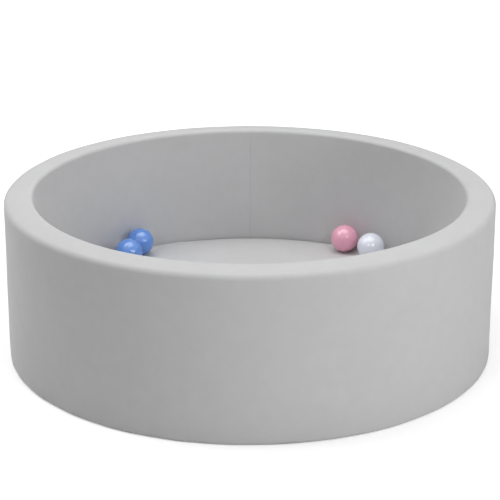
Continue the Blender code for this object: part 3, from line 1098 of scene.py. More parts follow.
@dataclass(frozen=True)
class WallUnevenness:
    """How far the wall's cloth stands off its ideal shape."""

    broad: SoftNoise = SoftNoise(0.0009, seed=3, around=13, along=5)
    middle: SoftNoise = SoftNoise(0.00035, seed=5, around=44, along=12)
    base_pucker: SoftNoise = SoftNoise(0.0005, seed=7, around=92, along=1)
    base_reach: float = 0.020
    floor_pucker: SoftNoise = SoftNoise(0.0007, seed=9, around=88, along=1)
    floor_reach: float = 0.022
    drape: SoftNoise = SoftNoise(0.0005, seed=11, around=34, along=2)
    drape_start: float = 0.05
    zip_margin: float = 0.12
    zip_fade: float = 0.1
    zip_even: float = 0.012
    zip_even_fade: float = 0.03
    seam_depth: float = 0.0011
    seam_width: float = 0.0012
    swell: float = 0.0004
    swell_away: float = 0.0045
    swell_width: float = 0.004
    seam_pucker: SoftNoise = SoftNoise(0.4, seed=13, around=4, along=46)
    seam_turn: float = 0.3
    hem_margin: float = 0.010
    roll: float = 0.0005
    roll_width: float = 0.0011
    stitch_depth: float = 0.0004
    stitch_width: float = 0.0008
    stitch_pucker: SoftNoise = SoftNoise(0.5, seed=17, around=210, along=1)

    def drift(self, turn: np.ndarray, stations: Stations) -> np.ndarray:
        """Distance outwards at every place of the cloth.

        Args:
            turn: The columns' angles, in radians.
            stations: The rows.

        Returns:
            An array of rows by columns.
        """
        turns = turn[None, :] / WHOLE_TURN
        length = stations.length[:, None]
        share = length / length[-1]
        height = stations.height[:, None]
        outer = (stations.radius[:, None] > (PIT_RADIUS + INNER_RADIUS) / 2).astype(float)
        inner = (1.0 - outer) * ease((PIT_HEIGHT - height) / self.drape_start)
        start = np.zeros_like(share)
        soft = (self.broad.sample(turns, share) + self.middle.sample(turns, share)) \
            * (1.0 - self._by_zip(turns, height, outer))
        base = self.base_pucker.sample(turns, start) * hump(length, self.base_reach)
        floor = self.floor_pucker.sample(turns, start) * hump(length[-1] - length, self.floor_reach)
        hang = self.drape.sample(turns, share) * inner
        return soft + base + floor + hang + self._back_seam(turn, share) + self._hem(turn, height, outer)

    def _by_zip(self, turns: np.ndarray, height: np.ndarray, outer: np.ndarray) -> np.ndarray:
        """Find the cloth by the zip, which the zip holds even.

        Args:
            turns: The columns' places, in turns.
            height: The rows' heights.
            outer: 1 on the rows of the outer side.

        Returns:
            1 by the zip and 0 away from it.
        """
        bearing = (turns % 1.0) * WHOLE_TURN
        beside = ease((bearing - SLOT_FIRST + self.zip_margin) / self.zip_fade) \
            * ease((SLOT_LAST + self.zip_margin - bearing) / self.zip_fade)
        above = ease((np.abs(height - ZIP_HEIGHT) - self.zip_even) / self.zip_even_fade)
        return beside * outer * (1.0 - above)

    def _back_seam(self, turn: np.ndarray, share: np.ndarray) -> np.ndarray:
        """Sink the upright seam at the back between two soft swells.

        Args:
            turn: The columns' angles.
            share: The rows' places along the section.

        Returns:
            The distance outwards.
        """
        away = (np.mod(turn - BACK + math.pi, WHOLE_TURN) - math.pi)[None, :] * PIT_RADIUS
        ripple = self.seam_pucker.sample(np.full_like(share, self.seam_turn), share)
        pucker = 1.0 - self.seam_pucker.depth + ripple
        sunk = -self.seam_depth * hump(away, self.seam_width)
        return (sunk + self.swell * hump(np.abs(away) - self.swell_away, self.swell_width)) * pucker

    def _hem(self, turn: np.ndarray, height: np.ndarray, outer: np.ndarray) -> np.ndarray:
        """Roll the edge and sink the sewn groove beside the zip's slot.

        Args:
            turn: The columns' angles.
            height: The rows' heights.
            outer: 1 on the rows of the outer side.

        Returns:
            The distance outwards.
        """
        bearing = np.mod(turn, WHOLE_TURN)[None, :]
        inside = (bearing > SLOT_FIRST - self.hem_margin) & (bearing < SLOT_LAST + self.hem_margin)
        away = np.abs(height - ZIP_HEIGHT) - SLOT_HALF
        rolled = -self.roll * (1.0 - ease(away / self.roll_width))
        groove = -self.stitch_depth * hump(away - STITCH_AWAY, self.stitch_width)
        pucker = 1.0 + self.stitch_pucker.sample(turn[None, :] / WHOLE_TURN, np.zeros_like(height))
        return (rolled + groove * pucker) * inside * outer


@dataclass
class Wall:
    """The ring-shaped wall: two foam halves under one strip of velvet."""

    section: WallSection = field(default_factory=WallSection)
    uneven: WallUnevenness = field(default_factory=WallUnevenness)
    columns: int = 384
    column_gap: float = 0.0042
    seam_columns: tuple[float, ...] = (0.0009, 0.002, 0.0035, 0.0055)
    slot_columns: tuple[float, ...] = (0.0, 0.0018, 0.005)
    strip_width: float = 0.59
    hem_width: float = 0.0075
    hem_inner: float = 0.00225
    hem_gap: float = 0.00008
    hem_margin: float = 0.004
    hem_columns: int = 300
    foam_columns: int = 120
    foam_low: float = 0.045
    recess_radius: float = 0.44484
    recess_half: float = 0.0138
    recess_tail: float = 0.013
    recess_clear: float = 0.005
    recess_columns: int = 160

    def angles(self) -> np.ndarray:
        """Place the columns from the back seam round to it again, close together by it and the slot's ends.

        Returns:
            Their angles.
        """
        even = BACK + whole_turn(self.columns)
        fine = [BACK + side * away / PIT_RADIUS for away in self.seam_columns for side in (1, -1)]
        ends = [end + side * away for end in (SLOT_FIRST, SLOT_LAST) for side in (1, -1)
                for away in self.slot_columns]
        extra = np.unique(np.mod(np.array(fine + ends) - BACK, WHOLE_TURN) + BACK)
        clear = np.abs(even[:, None] - extra[None, :]).min(axis=1) > self.column_gap
        clear[0] = True
        return np.sort(np.concatenate([even[clear], extra]))

    def surface(self, angles: np.ndarray, inset: float) -> np.ndarray:
        """Points of the wall's surface.

        Args:
            angles: The columns' angles.
            inset: How far under the cloth's outer face.

        Returns:
            An array of rows by columns by three.
        """
        stations = self.section.stations()
        drift = self.uneven.drift(angles, stations) - inset
        radius = stations.radius[:, None] + stations.out[:, None] * drift
        height = stations.height[:, None] + stations.up[:, None] * drift
        return turned(radius, angles, np.maximum(height, inset))

    def build_cover(self) -> bpy.types.Object:
        """Make the strip of velvet with the slot for the zip.

        Returns:
            The cloth piece.
        """
        angles = self.angles()
        stations = self.section.stations()
        faces = grid_faces(len(stations.height), len(angles), wrap_columns=True)
        row, column = np.divmod(np.arange(len(faces)), len(angles))
        width = np.diff(np.append(angles, angles[0] + WHOLE_TURN))[column]
        middle = np.mod(angles[column] + width / 2, WHOLE_TURN)
        height = (stations.height[row] + stations.height[row + 1]) / 2
        gone = stations.outermost[row] & (np.abs(height - ZIP_HEIGHT) < SLOT_HALF) \
            & (middle > SLOT_FIRST) & (middle < SLOT_LAST)
        run = np.append(angles - BACK, WHOLE_TURN) * PIT_RADIUS
        across = run[np.stack([column, column + 1, column + 1, column], axis=1)]
        along = stations.length[np.stack([row, row, row + 1, row + 1], axis=1)]
        flat = np.stack([across, along], axis=-1)[~gone]
        used, numbers = np.unique(faces[~gone], return_inverse=True)
        points = self.surface(angles, 0.0).reshape(-1, 3)[used]
        piece = make_piece("velvet_wall_cover", points, numbers.reshape(-1, 4).tolist(), VELVET, flat)
        thicken(piece, CLOTH)
        return piece

    def build_hem(self, side: ZipSide) -> bpy.types.Object:
        """Make the cloth folded under along one edge of the slot.

        Args:
            side: The side of the zip.

        Returns:
            The folded strip.
        """
        near, far = SLOT_HALF + NEARLY, SLOT_HALF + self.hem_width
        inner, outer = PIT_RADIUS - self.hem_inner, PIT_RADIUS - CLOTH - self.hem_gap
        edge = (outer - inner) / 2
        outline = arc_points(((inner + outer) / 2, near + edge), edge, 0.0, -180.0, 6)
        outline += [(inner, far), (outer - 2.0 * NEARLY, far)]
        angles = np.linspace(SLOT_FIRST - self.hem_margin, SLOT_LAST + self.hem_margin, self.hem_columns)
        return zip_strip(f"zip_hem_{side.label}", outline, side, angles, VELVET)

    def build_foam(self, name: str, first: float) -> bpy.types.Object:
        """Make half of the foam ring, with the recess behind the zip.

        Args:
            name: The piece's name.
            first: The angle where the half starts.

        Returns:
            The foam half.
        """
        gap = FOAM_GAP / PIT_RADIUS
        angles = np.linspace(first + gap / 2, first + math.pi - gap / 2, self.foam_columns + 1)
        skin = self.surface(angles, FOAM_INSET)
        under, foot = skin[0].copy(), skin[-1].copy()
        under[:, :2] *= ((PIT_RADIUS - self.section.base_round) / np.hypot(under[:, 0], under[:, 1]))[:, None]
        under[:, 2] = foot[:, 2] = FOAM_INSET
        rows = np.concatenate([under[None], skin[self._foam_rows()], foot[None]])
        faces = swept_faces(*rows.shape[:2], closed=True, whole=False)
        piece = tidy_normals(make_piece(name, rows.reshape(-1, 3), faces, FOAM))
        low, high = ZIP_HEIGHT - self.recess_half, ZIP_HEIGHT + self.recess_half
        inside, outside = self.recess_radius, PIT_RADIUS + self.recess_clear
        recess = np.array([(outside, low), (outside, high), (inside, high), (inside, low)])
        tail = self.recess_tail / PIT_RADIUS
        angles = np.linspace(ZIP_FIRST - tail, ZIP_LAST + tail, self.recess_columns)
        return work_with(piece, [lathe("recess", recess, angles, None, whole=False)], Work.CUT)

    def _foam_rows(self) -> np.ndarray:
        """Choose the cloth's rows that the foam follows.

        These are the rows of the rounds and the rim, and every other row of the upright sides. Beside the
        zip it is only the row at its middle.

        Returns:
            Whether the foam follows each row.
        """
        stations = self.section.stations()
        upright = stations.up == 0.0
        second = np.cumsum(upright) % 2 == 0
        by_zip = (stations.height < self.foam_low) & stations.outermost & upright
        return ~upright | (second & ~by_zip) | (stations.height == ZIP_HEIGHT)

    def build(self) -> None:
        for side, first in (("right", -BACK), ("left", BACK)):
            half = self.build_foam(f"foam_wall_{side}", first)
            declare(half, "pit", f"wall_foam_{side}")
        cover = self.build_cover()
        hems = [self.build_hem(side) for side in ZipSide]
        declare(cover, "pit", "cover_wall_sleeve")
        for hem in hems:
            declare(hem, "pit")


# Floor cushion and underside

@dataclass
class FloorCushion:
    """The round foam cushion and the velvet over it."""

    ball_places: tuple[tuple[float, float], ...]
    top: float = 0.072
    crown: float = 0.004
    crown_reach: float = 0.75
    edge_round: float = 0.014
    foam_radius: float = INNER_RADIUS + CLOTH
    foam_columns: int = 144
    foot_in: float = 0.003
    foot_up: float = 0.0045
    spacing: float = 0.0088
    edge_share: float = 0.8
    band_clear: float = 0.004
    least_points: int = 6
    seam_deg: float = 30.0
    seam_rings: int = 3
    slack: float = 0.010
    skin: float = 0.0007
    settle_frames: int = 46
    press_reach: float = 0.9
    press_gap: float = 0.0002
    thickness: float = CLOTH * 0.9

    @property
    def band_radius(self) -> float:
        """Distance from the axis at which the top passes into the rounded edge."""
        return self.foam_radius - self.edge_round

    @property
    def foam_top(self) -> float:
        """Height of the foam's flat band."""
        return self.top - FOAM_INSET

    def crown_height(self, radius: float) -> float:
        """How far the cushion's middle stands above its flat band."""
        share = np.clip(radius / (self.band_radius * self.crown_reach), 0.0, 1.0)
        return float(self.crown * (1.0 - share ** 2) ** 2)

    def build_foam(self) -> bpy.types.Object:
        """Make the foam cushion.

        Returns:
            The foam piece.
        """
        outline = [(radius, self.foam_top + self.crown_height(radius))
                   for radius in np.linspace(0.0, self.band_radius, 28)]
        middle = (self.band_radius, self.foam_top - self.edge_round)
        outline += arc_points(middle, self.edge_round, 90.0, 0.0, 8)[1:]
        outline += [(self.foam_radius, self.foot_up), (self.foam_radius - self.foot_in, FOAM_INSET),
                    (0.0, FOAM_INSET)]
        return lathe("foam_floor_cushion", np.array(outline), whole_turn(self.foam_columns), FOAM)

    def cut(self) -> tuple[np.ndarray, np.ndarray]:
        """Cut the cloth disc as rings of points.

        Returns:
            The points, and whether the seam holds each.
        """
        reach, base = self.edge_round + FOAM_INSET, self.foam_top - self.edge_round
        flat = np.arange(self.spacing, self.band_radius - self.band_clear, self.spacing)
        rings = [(0.0, self.top + self.crown, 1)]
        for radius in np.append(flat, self.band_radius):
            count = round(WHOLE_TURN * radius / self.spacing)
            rings.append((radius, self.top + self.crown_height(radius), max(self.least_points, count)))
        for angle in np.radians(np.linspace(90.0, self.seam_deg, 6))[1:]:
            radius = self.band_radius + reach * np.cos(angle)
            count = round(WHOLE_TURN * radius / (self.spacing * self.edge_share))
            rings.append((radius, base + reach * np.sin(angle), count))
        points = [turned(radius, whole_turn(count, 0.5 * (number % 2)), height)
                  for number, (radius, height, count) in enumerate(rings)]
        sewn = [np.full(len(ring), number >= len(rings) - self.seam_rings)
                for number, ring in enumerate(points)]
        return np.concatenate(points), np.concatenate(sewn)

    def build_cover(self, foam: bpy.types.Object) -> bpy.types.Object:
        """Cut the velvet disc, let it settle on the foam and give it its thickness.

        Args:
            foam: The cushion under it.

        Returns:
            The cloth piece.
        """
        points, sewn = self.cut()
        made = geometry.delaunay_2d_cdt([Vector(point[:2]) for point in points], [], [], 0, 1e-6)
        faces = np.array([face if self._faces_up(points[face]) else face[::-1]
                          for face in map(list, made[2])])
        piece = make_piece("velvet_floor_cover", points, faces.tolist(), VELVET, points[faces.ravel(), :2])
        self.settle(piece, foam, sewn)
        self.press_balls(piece)
        thicken(piece, self.thickness)
        return piece

    def _faces_up(self, corners: np.ndarray) -> bool:
        """Whether a triangle's corners run counter-clockwise seen from above."""
        first, second, third = corners[:, :2]
        return bool(np.cross(second - first, third - first) > 0.0)

    def settle(self, piece: bpy.types.Object, foam: bpy.types.Object, sewn: np.ndarray) -> None:
        """Let the slack cloth fall on the foam, held at its seam.

        Args:
            piece: The cloth.
            foam: The cushion under it.
            sewn: Which points the seam holds.
        """
        seam = piece.vertex_groups.new(name="seam")
        seam.add(np.flatnonzero(sewn).tolist(), 1.0, "REPLACE")
        foam.modifiers.new("firm", "COLLISION")
        set_all(foam.collision, thickness_outer=self.skin, cloth_friction=12.0)
        cloth = piece.modifiers.new("settle", "CLOTH")
        set_all(cloth.settings, quality=7, mass=0.22, air_damping=1.0, compression_stiffness=30.0,
                tension_stiffness=30.0, shear_stiffness=12.0, bending_stiffness=1.2, compression_damping=8.0,
                tension_damping=8.0, vertex_group_mass=seam.name, shrink_min=-self.slack)
        set_all(cloth.collision_settings, distance_min=self.skin, collision_quality=3)
        set_all(cloth.point_cache, frame_start=1, frame_end=self.settle_frames)
        for number in range(1, self.settle_frames + 1):
            bpy.context.scene.frame_set(number)
        freeze(piece)
        piece.vertex_groups.clear()
        foam.modifiers.clear()
        bpy.context.scene.frame_set(1)

    def press_balls(self, piece: bpy.types.Object) -> None:
        """Press the cloth down under each ball.

        Args:
            piece: The cloth.
        """
        rest = self.top + BALL_RADIUS + FOAM_GAP
        points = points_of(piece.data)
        for across, along in self.ball_places:
            away = np.hypot(points[:, 0] - across, points[:, 1] - along)
            under = away < BALL_RADIUS * self.press_reach
            shell = rest - np.sqrt(BALL_RADIUS ** 2 - away[under] ** 2)
            points[under, 2] = np.minimum(points[under, 2], shell - self.press_gap)
        piece.data.vertices.foreach_set("co", points.ravel())
        piece.data.update()

    def build(self) -> None:
        foam = self.build_foam()
        cover = self.build_cover(foam)
        declare(foam, "pit", "floor_foam")
        declare(cover, "pit", "cover_floor_panel")
        side = 2.0 * (self.band_radius + self.edge_round * math.radians(90.0 - self.seam_deg))
        math.pi * side ** 2 / 4


@dataclass
class Underside:
    """The woven disc that the pit stands on."""

    seam_radius: float = 0.4444
    spacing: float = 0.012
    columns: int = 180
    waviness: float = 0.00012
    edge: float = 0.01
    ripple: SoftNoise = SoftNoise(1.0, seed=23, around=60, along=10)

    def build(self) -> None:
        radii = np.linspace(0.0, self.seam_radius, round(self.seam_radius / self.spacing))[:, None]
        angles = whole_turn(self.columns)
        ripple = self.ripple.sample(angles[None, :] / WHOLE_TURN, radii / radii[-1])
        height = self.waviness * (1.0 + ripple) * np.minimum(1.0, (radii[-1] - radii) / self.edge)
        points = turned(radii, angles, height).reshape(-1, 3)
        faces = grid_faces(len(radii), self.columns, wrap_columns=True)[:, ::-1]
        piece = make_piece("backing_underside", points, faces.tolist(), BACKING, points[faces.ravel(), :2])
        tidy_normals(piece)
        if piece.data.polygons[0].normal.z > 0.0:
            piece.data.flip_normals()
        thicken(piece, CLOTH)
        declare(piece, "pit", "cover_underside_panel")


# Zip

def settle_on_zip(piece: bpy.types.Object, bearing: float) -> bpy.types.Object:
    """Move a metal piece made at bearing zero to its place on the zip and finish it.

    Args:
        piece: A piece with x outwards, y along the zip and z up.
        bearing: Its angle round the pit.

    Returns:
        The piece.
    """
    piece.data.transform(Matrix.Translation((0.0, 0.0, ZIP_HEIGHT)) @ Matrix.Rotation(bearing, 4, "Z"))
    shade(piece.data, 38.0)
    piece.data.uv_layers.new(name=FLAT_MAP)
    METAL.dress(piece)
    return piece


@dataclass(frozen=True)
class StitchRow:
    """A row of lockstitches."""

    pitch: float = 0.0034
    length: float = 0.0027
    thickness: float = 0.00042
    taper: float = 0.45
    rise: float = 0.00022
    dip: float = 0.00035
    rings: int = 5
    sides: int = 5

    def build(self, path: np.ndarray, outward: np.ndarray) -> Shape:
        """Lay the stitches along a path.

        Args:
            path: Close points along the row, on the cloth.
            outward: The cloth's outward direction at each.

        Returns:
            The stitches' points and faces.
        """
        run = np.concatenate([[0.0], np.cumsum(np.linalg.norm(np.diff(path, axis=0), axis=1))])
        count = int(run[-1] // self.pitch)
        share = np.linspace(-0.5, 0.5, self.rings)
        sunk = (2.0 * share) ** 4
        radii = self.thickness / 2 * (1.0 - self.taper + self.taper * (1.0 - sunk))
        lift = (self.rise - (self.rise + self.dip) * sunk)[:, None]
        stitches: list[Shape] = []
        for number in range(count):
            at = (number + 0.5) * run[-1] / count + share * self.length
            middle, normal = (np.stack([np.interp(at, run, table[:, axis]) for axis in range(3)], axis=1)
                              for table in (path, outward))
            stitches.append(tube(middle + normal * lift, normal, radii, self.sides))
        return gather(stitches)


@dataclass
class ZipChain:
    """The zip's fixed parts: tapes, coils, stops and the stitching that holds them."""

    tape_inner: float = 0.447039
    tape_outer: float = 0.447539
    tape_near: float = 0.0008
    tape_far: float = 0.0128
    tape_tail: float = 0.012
    tape_columns: int = 240
    cord: tuple[tuple[float, float], ...] = ((0.0, 0.0036), (0.0001, 0.0042), (0.0, 0.0048))
    coil_inner: float = 0.447620
    coil_outer: float = 0.449939
    coil_near: float = 0.0008
    coil_far: float = 0.0036
    coil_pitch: float = 0.0019
    coil_margin: float = 0.0004
    coil_boxy: float = 0.7
    turn_points: int = 8
    wire: float = 0.00036
    head: float = 0.12
    head_most: float = 1.08
    stop_length: float = 0.003
    stop_gap: float = 0.0003
    stop_inset: float = 0.0001
    stop_rise: float = 0.0003
    stop_corner: float = 0.0005
    stop_edge: float = 0.00025
    groove_depth: float = 0.0004
    groove_corner: float = 0.0003
    groove_edge: float = 0.00005
    groove_clear: float = 0.001
    groove_span: tuple[float, float] = (0.4, 0.6)
    stitch_end: float = 0.0045
    stitch_sink: float = 0.0003

    def build_tape(self, side: ZipSide) -> bpy.types.Object:
        """Make one woven tape with its corded edge.

        Args:
            side: The side of the zip.

        Returns:
            The tape.
        """
        edge = (self.tape_outer - self.tape_inner) / 2
        middle = (self.tape_outer + self.tape_inner) / 2
        outline = arc_points((middle, self.tape_near + edge), edge, 180.0, 360.0, 4)
        outline += [(self.tape_outer + rise, self.tape_near + away) for rise, away in self.cord]
        outline += arc_points((middle, self.tape_far - edge), edge, 0.0, 180.0, 4)
        tail = self.tape_tail / PIT_RADIUS
        angles = np.linspace(ZIP_FIRST - tail, ZIP_LAST + tail, self.tape_columns)
        return zip_strip(f"woven_tape_{side.label}", outline, side, angles, TAPE)

    def build_coil(self, side: ZipSide) -> bpy.types.Object:
        """Make one side's nylon coil as a continuous winding.

        Args:
            side: The side of the zip.

        Returns:
            The coil.
        """
        run = (ZIP_LAST - ZIP_FIRST) * PIT_RADIUS
        turns = round(run / self.coil_pitch)
        phase = np.arange(turns * self.turn_points + 1) * WHOLE_TURN / self.turn_points
        offset = 0.0 if side is ZipSide.UPPER else math.pi
        wide, deep = np.cos(phase + offset), np.sin(phase + offset)
        half_wide = (self.coil_far - self.coil_near) / 2 - self.wire
        half_deep = (self.coil_outer - self.coil_inner) / 2 - self.wire
        start = ZIP_FIRST + self.coil_margin / PIT_RADIUS
        bearing = start + (run - 2.0 * self.coil_margin) / PIT_RADIUS * phase / phase[-1]
        boxy = np.sign(deep) * np.abs(deep) ** self.coil_boxy
        radius = (self.coil_outer + self.coil_inner) / 2 + half_deep * boxy
        height = ZIP_HEIGHT + side.value * ((self.coil_far + self.coil_near) / 2 + half_wide * wide)
        along = turned(1.0, bearing + BACK, 0.0)
        swell = np.minimum(1.0 + self.head * np.clip(-wide, 0.0, 1.0), self.head_most)
        points, faces = tube(turned(radius, bearing, height), along, self.wire * swell, 4)
        return make_piece(f"nylon_coil_{side.label}", points, faces, TEETH, sharp_deg=80.0)

    def build_stop(self, name: str, first: float, low: float, high: float) -> bpy.types.Object:
        """Make a crimped stop with a pressed groove.

        Args:
            name: The piece's name.
            first: The angle where it starts.
            low: Its lower side, measured from the zip's middle.
            high: Its upper side.

        Returns:
            The stop.
        """
        inner, outer = self.coil_inner + self.stop_inset, self.coil_outer + self.stop_rise
        body = rounded_box((inner, low), (outer, high), self.stop_corner)
        stop = plate(name, [body], 0.0, self.stop_length, Lie.END_ON, self.stop_edge)
        clear = self.groove_clear
        cut = rounded_box((outer - self.groove_depth, low - clear), (outer + clear, high + clear),
                          self.groove_corner)
        start, end = (self.stop_length * share for share in self.groove_span)
        groove = plate(f"{name}_groove", [cut], start, end, Lie.END_ON, self.groove_edge)
        return settle_on_zip(work_with(stop, [groove], Work.CUT), first)

    def build_stitching(self) -> bpy.types.Object:
        """Make the stitches that hold the velvet to the tapes, all round the slot.

        Returns:
            The stitches as one piece.
        """
        away = SLOT_HALF + STITCH_AWAY
        along = np.linspace(SLOT_FIRST - self.stitch_end, SLOT_LAST + self.stitch_end, 400)
        upward = np.linspace(ZIP_HEIGHT - away, ZIP_HEIGHT + away, 12)
        rows = [(along, np.full_like(along, ZIP_HEIGHT + side.value * away)) for side in ZipSide]
        rows += [(np.full_like(upward, bearing), upward) for bearing in (along[0], along[-1])]
        stitches = [StitchRow().build(turned(PIT_RADIUS - self.stitch_sink, bearing, height),
                                      turned(1.0, bearing, 0.0)) for bearing, height in rows]
        return make_piece("zip_stitching", *gather(stitches), THREAD, sharp_deg=80.0)

    def build(self) -> None:
        gap, end = self.stop_gap / PIT_RADIUS, (self.stop_gap + self.stop_length) / PIT_RADIUS
        for side in ZipSide:
            tape = self.build_tape(side)
            low, high = sorted((side.value * self.coil_near, side.value * self.coil_far))
            stop = self.build_stop(f"metal_top_stop_{side.label}", ZIP_FIRST - end, low, high)
            declare(tape, "pit", f"zip_tape_{side.label}")
            declare(self.build_coil(side), "pit", f"zip_coil_{side.label}")
            declare(stop, "pit", f"zip_top_stop_{side.label}")
        bottom = self.build_stop("metal_bottom_stop", ZIP_LAST + gap, -self.coil_far, self.coil_far)
        declare(bottom, "pit", "zip_bottom_stop")
        declare(self.build_stitching(), "pit")


@dataclass
class ZipSlider:
    """The slider and its pull tab."""

    length: float = 0.0115
    half_height: float = 0.0050
    tail_share: float = 0.82
    mouth_round: float = 0.0022
    tail_round: float = 0.0016
    waist: tuple[tuple[float, float], ...] = ((0.0012, 1.0), (-0.0010, 0.98))
    plate_inner: float = 0.4506
    plate_outer: float = 0.4516
    plate_edge: float = 0.00028
    back_inner: float = 0.44544
    back_outer: float = 0.44644
    back_edge: float = 0.00025
    lip: float = 0.0008
    lip_foot: float = 0.44814
    lip_length: float = 0.0075
    lip_inset: float = 0.0002
    lip_edge: float = 0.00012
    post_length: float = 0.0030
    post_half: float = 0.0005
    post_corner: float = 0.00045
    post_edge: float = 0.00002
    bridge_length: float = 0.0088
    bridge_width: float = 0.0018
    bridge_thickness: float = 0.0011
    bridge_small: float = 0.0005
    pull_length: float = 0.026
    pull_width: float = 0.0068
    pull_thickness: float = 0.0012
    pull_edge: float = 0.00022
    pull_rim: float = 0.0009
    pull_play: float = 0.0004
    bar_slope: tuple[float, float] = (0.0003, 0.0004)
    window_room: float = 0.0022
    window_corner: float = 0.0004
    panel_depth: float = 0.00018
    panel_corner: float = 0.0009
    panel_edge: float = 0.00004
    panel_start: float = 0.0016
    panel_end: float = 0.0008
    panel_clear: float = 0.001
    hole_radius: float = 0.0013
    lap: float = 0.0003

    def rest_bearing(self) -> tuple[float, float]:
        """The pull's axis as (bearing, distance from the pit's axis), from the part's own joint."""
        place = next(joint["pos_m"] for joint in frame["joints"] if joint["name"] == "zip_pull_swing")
        return math.atan2(place[1], place[0]), math.hypot(place[0], place[1])

    def shield(self) -> Outline:
        """Draw the slider plate's outline, wide at its mouth.

        Returns:
            The outline as (along, up).
        """
        half, high, tail = self.length / 2, self.half_height, self.half_height * self.tail_share
        mouth, rear = self.mouth_round, self.tail_round
        upper = arc_points((half - mouth, high - mouth), mouth, 0.0, 90.0, 4)
        upper += [(along, high * share) for along, share in self.waist]
        upper += arc_points((-half + rear, tail - rear), rear, 90.0, 180.0, 4)
        return upper + [(along, -up) for along, up in reversed(upper)]

    def bridge(self, axis: float) -> Outline:
        """Draw the bridge from the side.

        Args:
            axis: The pull's axis, from the pit's own.

        Returns:
            The outline as (along, outwards).
        """
        under = axis + (self.pull_thickness / math.sqrt(2.0) + self.pull_play)
        foot, wall, small = self.plate_outer - self.lap, self.bridge_thickness, self.bridge_small
        top, half = under + wall, self.bridge_length / 2
        outline = [(half, foot)] + arc_points((half - wall, top - wall), wall, 0.0, 90.0, 5)
        outline += arc_points((wall - half, top - wall), wall, 90.0, 180.0, 5)
        outline += [(-half, foot), (wall - half, foot)]
        outline += arc_points((wall - half + small, under - small), small, 180.0, 90.0, 3)
        outline += arc_points((half - wall - small, under - small), small, 90.0, 0.0, 3)
        return outline + [(half - wall, foot)]

    def build_slider(self, axis: float) -> bpy.types.Object:
        """Make the slider's body with its lips, post and bridge.

        Args:
            axis: The pull's axis, from the pit's own.

        Returns:
            The slider.
        """
        out, half, width = Lie.FACING_OUT, self.lip_length / 2, self.bridge_width / 2
        low, high = self.back_outer - self.lap, self.plate_inner + self.lap
        post = rounded_box((-self.post_length / 2, -self.post_half), (self.post_length / 2, self.post_half),
                           self.post_corner)
        body = plate("metal_slider", [self.shield()], self.plate_inner, self.plate_outer, out,
                     self.plate_edge)
        parts = [plate("back", [self.shield()], self.back_inner, self.back_outer, out, self.back_edge),
                 plate("post", [post], low, high, out, self.post_edge),
                 plate("bridge", [self.bridge(axis)], -width, width, Lie.ON_EDGE, self.plate_edge)]
        for side in ZipSide:
            first, last = sorted((side.value * (self.half_height - self.lip),
                                  side.value * (self.half_height - self.lip_inset)))
            lip = rounded_box((-half, first), (half, last), self.plate_edge)
            parts.append(plate(f"lip_{side.label}", [lip], self.lip_foot, high, out, self.lip_edge))
        return work_with(body, parts, Work.JOIN)

    def build_pull(self) -> bpy.types.Object:
        """Make the pull tab with a raised rim, the window for the bridge and the end hole.

        Returns:
            The pull.
        """
        rim, half = self.pull_thickness / 2, self.pull_width / 2
        window_half = self.bridge_width / 2 + self.pull_play
        window_end = self.bridge_length / 2 + self.window_room
        window = rounded_box((rim, -window_half), (window_end, window_half), self.window_corner)
        hole = arc_points((self.pull_length - half, 0.0), self.hole_radius, 0.0, 345.0, 23)
        tab = plate("metal_pull", [self.tab(), window, hole], -rim, rim, Lie.FACING_OUT, self.pull_edge)
        panel = rounded_box((window_end + self.panel_start, -half + self.pull_rim),
                            (self.pull_length - self.pull_width - self.panel_end, half - self.pull_rim),
                            self.panel_corner)
        deep, clear = rim - self.panel_depth, rim + self.panel_clear
        tools = [plate(name, [panel], low, high, Lie.FACING_OUT, self.panel_edge)
                 for name, low, high in (("panel_outer", deep, clear), ("panel_inner", -clear, -deep))]
        return work_with(tab, tools, Work.CUT)

    def tab(self) -> Outline:
        """Draw the pull from its end bar to its round end.

        Returns:
            The outline as (along, up).
        """
        half, bar = self.pull_width / 2, self.pull_thickness / 2
        along, up = self.bar_slope
        end = arc_points((self.pull_length - half, 0.0), half, 90.0, -90.0, 14)
        return [(-bar + along, -half), (-bar, -half + up), (-bar, half - up), (-bar + along, half)] + end

    def build(self) -> None:
        bearing, axis = self.rest_bearing()
        slider = settle_on_zip(self.build_slider(axis), bearing)
        pull = self.build_pull()
        pull.data.transform(Matrix.Translation((axis, 0.0, 0.0)))
        settle_on_zip(pull, bearing)
        declare(slider, "zip_slider", "zip_slider")
        declare(pull, "zip_pull", "zip_pull")


# Balls

class BallTint(Enum):
    """The balls' plastics."""

    BLUE = PlasticFinish("glossy_blue_plastic", "blue_plastic", (0.128, 0.305, 0.78))
    PINK = PlasticFinish("glossy_pink_plastic", "pink_plastic", (0.93, 0.43, 0.57))
    WHITE = PlasticFinish("glossy_pearl_plastic", "white_plastic", (0.83, 0.86, 0.96))


